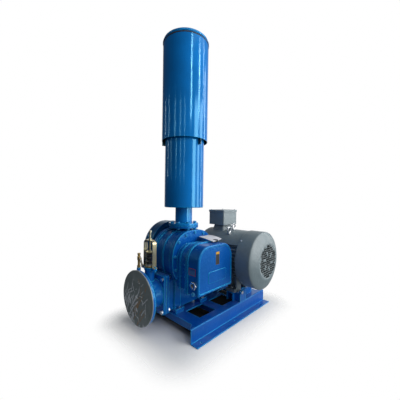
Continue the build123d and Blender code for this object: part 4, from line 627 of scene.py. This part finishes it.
# %% Lay the card
near_left = Vector((-0.186, -0.226, 0.5765))
near_right = Vector((-0.046, -0.186, 0.5765))
far_left = Vector((-0.164, -0.064, 0.592))
far_right = Vector((-0.052, -0.062, 0.592))
plug_place = Vector((-0.130, -0.195, 0.58))
hole_radius = 0.0185
card_thickness = 0.0005
card = bmesh.new()
bmesh.ops.create_grid(card, x_segments=30, y_segments=26, size=0.5)
for point in card.verts:
    across = point.co.x + 0.5
    along = point.co.y + 0.5
    near = near_left.lerp(near_right, across)
    far = far_left.lerp(far_right, across)
    point.co = near.lerp(far, along)
    arch = 0.004 * math.sin(math.pi * along) * (0.4 + across)
    point.co.z += arch + 0.0008 * math.sin(9 * across)
punched = [
    face for face in card.faces
    if (face.calc_center_median() - plug_place).xy.length < hole_radius]
bmesh.ops.delete(card, geom=punched, context="FACES")
bmesh.ops.solidify(card, geom=card.faces[:], thickness=card_thickness)
card_bench = Bench("white_card")
fibre = card_bench.speckle(120.0, 4.0)
card_finish = card_bench.shader(
    Base_Color=card_bench.blend(card_bench.speckle(18.0), (0.78, 0.78, 0.8), (0.66, 0.66, 0.69)),
    Roughness=0.7 + fibre * 0.1, Normal=card_bench.bump(fibre, 0.15, 0.0003))
keep("card_tag", card, card_finish)

# %% [markdown]
# ## Plates on the gear case
# A small two-tone plate sits high on the gear case's face and a red-edged one on its side. Both stay
# blank. Lower on the face the casting carries a plain raised panel with soft edges. Each is a flat
# box whose corners are rounded with bevel before its edges are eased.

# %% Cut the plates


def rounded_plate(centre, width, height, thickness, corner, facing, ease=0.0003):
    """A thin plate with rounded corners; facing is 'front' for -Y or 'side' for -X."""
    shape = bmesh.new()
    bmesh.ops.create_cube(shape, size=1)
    bmesh.ops.scale(shape, vec=(width, thickness, height), verts=shape.verts)
    through = [
        edge for edge in shape.edges
        if abs(edge.verts[0].co.y - edge.verts[1].co.y) > thickness / 2]
    bmesh.ops.bevel(
        shape, geom=through, offset=corner, segments=6, affect="EDGES", profile=0.5, material=-1)
    rim = [
        edge for edge in shape.edges
        if edge.verts[0].co.y < 0 and edge.verts[1].co.y < 0 and len(edge.link_faces) == 2
        and abs(edge.link_faces[0].normal.y - edge.link_faces[1].normal.y) > 0.5]
    bmesh.ops.bevel(shape, geom=rim, offset=ease, segments=3, affect="EDGES", profile=0.5, material=-1)
    if facing == "side":
        quarter = Matrix.Rotation(-math.pi / 2, 3, "Z")
        bmesh.ops.rotate(shape, cent=(0, 0, 0), matrix=quarter, verts=shape.verts)
    bmesh.ops.translate(shape, vec=centre, verts=shape.verts)
    return shape


print_edge = 9000.0


def blank_print(name, ground, band, edge, centre, half_width, half_height, margin, band_from, across):
    """A printed plate with a border and one plain band, in the plate's own place."""
    bench = Bench(name)
    side = bench.part(bench.place, across)
    tall = bench.part(bench.place, "Z")
    out_side = bench.size_of(side - centre[0]) - (half_width - margin)
    out_tall = bench.size_of(tall - centre[1]) - (half_height - margin)
    border = (out_side * print_edge).clamped() + (out_tall * print_edge).clamped()
    banded = ((tall - band_from) * print_edge).clamped()
    shade = bench.blend(banded, ground, band)
    shade = bench.blend(border.clamped(), shade, edge)
    grime = bench.speckle(90.0, 4.0)
    shade = bench.blend(grime * 0.25, shade, (0.1, 0.09, 0.08))
    return bench.shader(
        Base_Color=shade, Roughness=0.32 + grime * 0.15, Coat_Weight=0.4, Coat_Roughness=0.1,
        Normal=bench.bump(grime, 0.1, 0.0003))


face_plate = rounded_plate((-0.181, -0.2574, 0.474), 0.036, 0.084, 0.0008, 0.002, "front")
face_print = blank_print(
    "two_tone_print", (0.012, 0.012, 0.014), (0.85, 0.42, 0.0), (0.2, 0.14, 0.03),
    (-0.181, 0.474), 0.018, 0.042, 0.0016, 0.5, "X")
keep("face_plate", face_plate, face_print, smooth=False)
side_plate = rounded_plate((-0.3674, -0.208, 0.41), 0.058, 0.044, 0.0008, 0.002, "side")
side_print = blank_print(
    "red_edged_print", (0.05, 0.16, 0.4), (0.02, 0.1, 0.32), (0.5, 0.02, 0.02),
    (-0.208, 0.41), 0.029, 0.022, 0.0026, 0.416, "Y")
keep("side_sticker", side_plate, side_print, smooth=False)
cast_panel = rounded_plate((-0.181, -0.2578, 0.36), 0.182, 0.074, 0.0036, 0.016, "front", ease=0.0014)
keep("cast_panel", cast_panel, finishes["blue_paint"], smooth=False)

# %% [markdown]
# ## Relief valve's spring
# The disc under the spring rises by a few millimetres, and a rigid CAD spring would be cut by it. So a
# coil of the same size stands for it: hoops of points climb round the valve's axis, slowly in the
# first and last turn as on a real spring with closed ends, and the coil gets a mesh of its own.

# %% Coil the relief valve's spring
spring_low, spring_high = (Vector(corner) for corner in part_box("relief_spring"))
spring_middle = (spring_low + spring_high) / 2
wire_radius = 0.003
coil_radius = (spring_high.x - spring_low.x) / 2 - wire_radius
rise = spring_high.z - spring_low.z - 2 * wire_radius
turns = 7
closed_pitch = 0.0063
open_pitch = (rise - 2 * closed_pitch) / (turns - 2)
steps_a_turn = 40
wire_sides = 10
coil = bmesh.new()
hoops = []
for step in range(turns * steps_a_turn + 1):
    turned = step / steps_a_turn
    closed_turns = min(turned, 1) + max(0, turned - turns + 1)
    open_turns = max(0, min(turned, turns - 1) - 1)
    outward = Vector((math.cos(math.tau * turned), math.sin(math.tau * turned), 0))
    core = Vector((spring_middle.x, spring_middle.y, spring_low.z + wire_radius)) + outward * coil_radius
    core.z += closed_turns * closed_pitch + open_turns * open_pitch
    hoop = []
    for side in range(wire_sides):
        round_wire = math.tau * side / wire_sides
        off = outward * math.cos(round_wire) + Vector((0, 0, math.sin(round_wire)))
        hoop.append(coil.verts.new(core + off * wire_radius))
    hoops.append(hoop)
for first, second in zip(hoops, hoops[1:]):
    for side in range(wire_sides):
        after = (side + 1) % wire_sides
        coil.faces.new((first[side], first[after], second[after], second[side]))
coil.faces.new(hoops[0])
coil.faces.new(hoops[-1])
relief_coil = keep("relief_coil", coil, finishes["black_steel"])
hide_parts("relief_spring")
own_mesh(relief_coil)

# %% [markdown]
# ## Painted shadow under the silencer's lid
# Under the rim of the hood's lid runs a thin line of shade. A dark ring stands for it, a painted
# shadow: one ring with a soft rounded outer face, spun round the hood's axis.

# %% Roll the dark ring of painted shadow
hood_low, hood_high = (Vector(corner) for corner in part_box("silencer_hood"))
hood_axis = Vector(((hood_low.x + hood_high.x) / 2, (hood_low.y + hood_high.y) / 2, hood_high.z))
hood_radius = (hood_high.x - hood_low.x) / 2
shade_ring_section = ((-0.002, 0.0), (0.0009, 0.0008), (0.0012, 0.005), (0.0009, 0.0092), (-0.002, 0.010))
shade_ring_drop = 0.004
shade_ring_profile = [
    hood_axis + Vector((0, hood_radius + out, -shade_ring_drop - down)) for out, down in shade_ring_section]
shade_ring = spin_profile(shade_ring_profile, hood_axis, (0, 0, 1), 128)
keep("lid_shade_ring", shade_ring, finishes["seal_rubber"])

# %% [markdown]
# ## Fan cover
# The motor's fan cover is one pressing: a barrel, a cone and a flat face. The CAD keeps its grille
# coarse, because fine holes cost many faces. Here the barrel is spun from a profile with rolled
# bends, and the face is a sheet of small hexagons: each cell is inset and its middle taken out,
# except along the plain spokes.

# %% Spin the barrel and the cone
motor_axis = Vector((0.204, 0, 0.413))
barrel_outline = (
    (0.2120, -0.2720), (0.2120, -0.2740), (0.2120, -0.3000), (0.2120, -0.3400), (0.2120, -0.3790),
    (0.2115, -0.3832), (0.2100, -0.3868), (0.2075, -0.3894), (0.1850, -0.3996), (0.1420, -0.4180),
    (0.1370, -0.4200), (0.1310, -0.4214), (0.1250, -0.4217), (0.1190, -0.4217))
barrel_profile = [motor_axis + Vector((0, depth, radius)) for radius, depth in barrel_outline]
barrel = spin_profile(barrel_profile, motor_axis, (0, 1, 0), 96)
cover = keep("fan_cover_pressing", barrel, finishes["motor_paint"])
# The inside faces of the pressing get the black finish: painted shade inside the cover.
cover.data.materials.append(finishes["black_steel"])
cover_thickness = 0.002
sheet_metal(cover, cover_thickness, -1).material_offset = 1
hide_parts("fan_cover")

# %% Punch the grille
pitch = 0.018
screen_radius = 0.1215
screen_depth = -0.4210
open_radius = 0.116
hub_radius = 0.03
half_spoke = 0.0055
rib = 0.0016
screen_thickness = 0.0016
grille = bmesh.new()
flat_on = Matrix.Rotation(math.pi / 2, 4, "X")
for row in range(-8, 9):
    for column in range(-8, 9):
        x = (column + (row % 2) / 2) * pitch
        z = row * pitch * math.sqrt(3) / 2
        if math.hypot(x, z) > screen_radius:
            continue
        place = Matrix.Translation(motor_axis + Vector((x, screen_depth, z))) @ flat_on
        bmesh.ops.create_circle(
            grille, cap_ends=True, segments=6, radius=pitch / math.sqrt(3), matrix=place)
bmesh.ops.remove_doubles(grille, verts=grille.verts, dist=0.0004)
open_cells = []
for cell in grille.faces:
    away = cell.calc_center_median() - motor_axis
    reach = math.hypot(away.x, away.z)
    spoke = min(
        abs(away.x * math.sin(math.radians(angle)) - away.z * math.cos(math.radians(angle)))
        for angle in (45, 105, 165))
    if reach < open_radius and (spoke > half_spoke or reach < hub_radius):
        open_cells.append(cell)
bmesh.ops.inset_individual(grille, faces=open_cells, thickness=rib)
bmesh.ops.delete(grille, geom=open_cells, context="FACES")
screen = keep("fan_grille", grille, finishes["motor_paint"], smooth=False)
sheet_metal(screen, screen_thickness, 0)
eased = screen.modifiers.new("eased", "BEVEL")
eased.width = 0.0003
eased.segments = 1

# %% Screws round the fan cover's edge
head_seat = 0.2122
head_depth = -0.285
head_radius = 0.0062
head_height = 0.0028
screws = bmesh.new()
for angle in (45, 135, 225, 315):
    outward = Vector((math.cos(math.radians(angle)), 0, math.sin(math.radians(angle))))
    seat = motor_axis + outward * head_seat + Vector((0, head_depth, 0))
    place = Matrix.Translation(seat) @ outward.to_track_quat("Z", "Y").to_matrix().to_4x4()
    bmesh.ops.create_circle(screws, cap_ends=True, segments=24, radius=head_radius, matrix=place)
lifted = bmesh.ops.extrude_face_region(screws, geom=screws.faces[:])
for item in lifted["geom"]:
    if isinstance(item, bmesh.types.BMVert):
        away = item.co - motor_axis
        item.co += Vector((away.x, 0, away.z)).normalized() * head_height
tops = [item for item in lifted["geom"] if isinstance(item, bmesh.types.BMFace)]
bmesh.ops.inset_region(screws, faces=tops, thickness=0.0014, depth=0.0007)
keep("fan_cover_screws", screws, finishes["zinc_bolts"])

# %% [markdown]
# ## Floor
# The floor is a pale sheet that takes the object's shadow and fades into a white room. Close to the
# object it is a plain matte surface, painted dark under the base as painted shade, where little light
# comes back up. Further out it turns clear, so no horizon shows. The room is white to the camera, to
# glass and to gloss that looks away from the camera, and it lights the object only softly, more from the
# right.

# %% Lay the floor
fade_reach = 0.27
plain_half_length = 0.47
plain_half_width = 0.25
shade_half_length = 0.36
shade_half_width = 0.2
middle_shift = 0.03
floor_mesh = bmesh.new()
bmesh.ops.create_grid(floor_mesh, x_segments=4, y_segments=4, size=6)
floor_data = bpy.data.meshes.new("floor")
floor_mesh.to_mesh(floor_data)
floor_mesh.free()
floor = bpy.data.objects.new("floor", floor_data)
bpy.context.scene.collection.objects.link(floor)
ground = Bench("pale_floor")


def eased_range(value, low, high, at_low, at_high):
    """Carry a value smoothly from one range to another."""
    return ground.node(
        "ShaderNodeMapRange", {"interpolation_type": "SMOOTHSTEP"},
        {0: value, 1: low, 2: high, 3: at_low, 4: at_high})


across = ground.part(ground.place, "X")
along = ground.part(ground.place, "Y")
past_end = ground.size_of(across + middle_shift) - plain_half_length
past_side = ground.size_of(along) - plain_half_width
past_end = past_end.maths("MAXIMUM", past_end, 0.0)
past_side = past_side.maths("MAXIMUM", past_side, 0.0)
from_base = (past_end * past_end + past_side * past_side) ** 0.5
fade = eased_range(from_base, 0.0, fade_reach, 1.0, 0.0)
from_end = ground.size_of(across - middle_shift) - shade_half_length
from_side = ground.size_of(along) - shade_half_width
nearest = from_end.maths("MAXIMUM", from_end, from_side)
# Under the base the floor's colour is painted dark: painted shade.
under = eased_range(nearest, -0.03, 0.07, 0.05, 0.88)
matte = ground.node("ShaderNodeBsdfDiffuse", links={"Color": under})
clear = ground.node("ShaderNodeBsdfTransparent")
mixed = ground.node("ShaderNodeMixShader", links={0: fade, 1: clear, 2: matte})
ground.tree.links.new(mixed.socket, ground.output.inputs[0])
floor_data.materials.append(ground.material)

# %% Paint the room round it
room = bpy.data.worlds.new("room")
bpy.context.scene.world = room
room.use_nodes = True
room_tree = room.node_tree
room_tree.nodes.clear()


def room_node(kind, settings=None, links=None):
    """A node of the world, with constants or sockets as what goes into it."""
    made = room_tree.nodes.new(kind)
    for key, value in (settings or {}).items():
        setattr(made, key, value)
    for key, value in (links or {}).items():
        if isinstance(value, bpy.types.NodeSocket):
            room_tree.links.new(value, made.inputs[key])
        else:
            made.inputs[key].default_value = value
    return made


def room_maths(operation, first, second):
    """A Math node of the world."""
    return room_node("ShaderNodeMath", {"operation": operation}, {0: first, 1: second}).outputs[0]


def facing(direction):
    """How far a ray of the world runs along a direction, from -1 to 1."""
    dot = room_node("ShaderNodeVectorMath", {"operation": "DOT_PRODUCT"}, {0: looking, 1: direction})
    return dot.outputs["Value"]


path = room_node("ShaderNodeLightPath")
looking = room_node("ShaderNodeTexCoord").outputs["Generated"]
ahead = room_node("ShaderNodeMapRange", links={0: facing(forward), 1: 0.72, 2: 0.92}).outputs[0]
seen = room_maths("MULTIPLY", path.outputs["Is Glossy Ray"], ahead)
seen = room_maths("MAXIMUM", seen, path.outputs["Is Transmission Ray"])
white_share = room_maths("MAXIMUM", seen, path.outputs["Is Camera Ray"])
dim = room_node(
    "ShaderNodeMapRange", links={0: facing(level_right), 1: -0.7, 2: 0.9, 3: 0.05, 4: 0.3}).outputs[0]
soft = room_node("ShaderNodeBackground", links={0: (0.8, 0.92, 1.0, 1), 1: dim}).outputs[0]
white = room_node("ShaderNodeBackground", links={0: (1, 1, 1, 1), 1: 1.0}).outputs[0]
choose = room_node("ShaderNodeMixShader", links={0: white_share, 1: soft, 2: white}).outputs[0]
room_node("ShaderNodeOutputWorld", links={0: choose})
print("room ready")
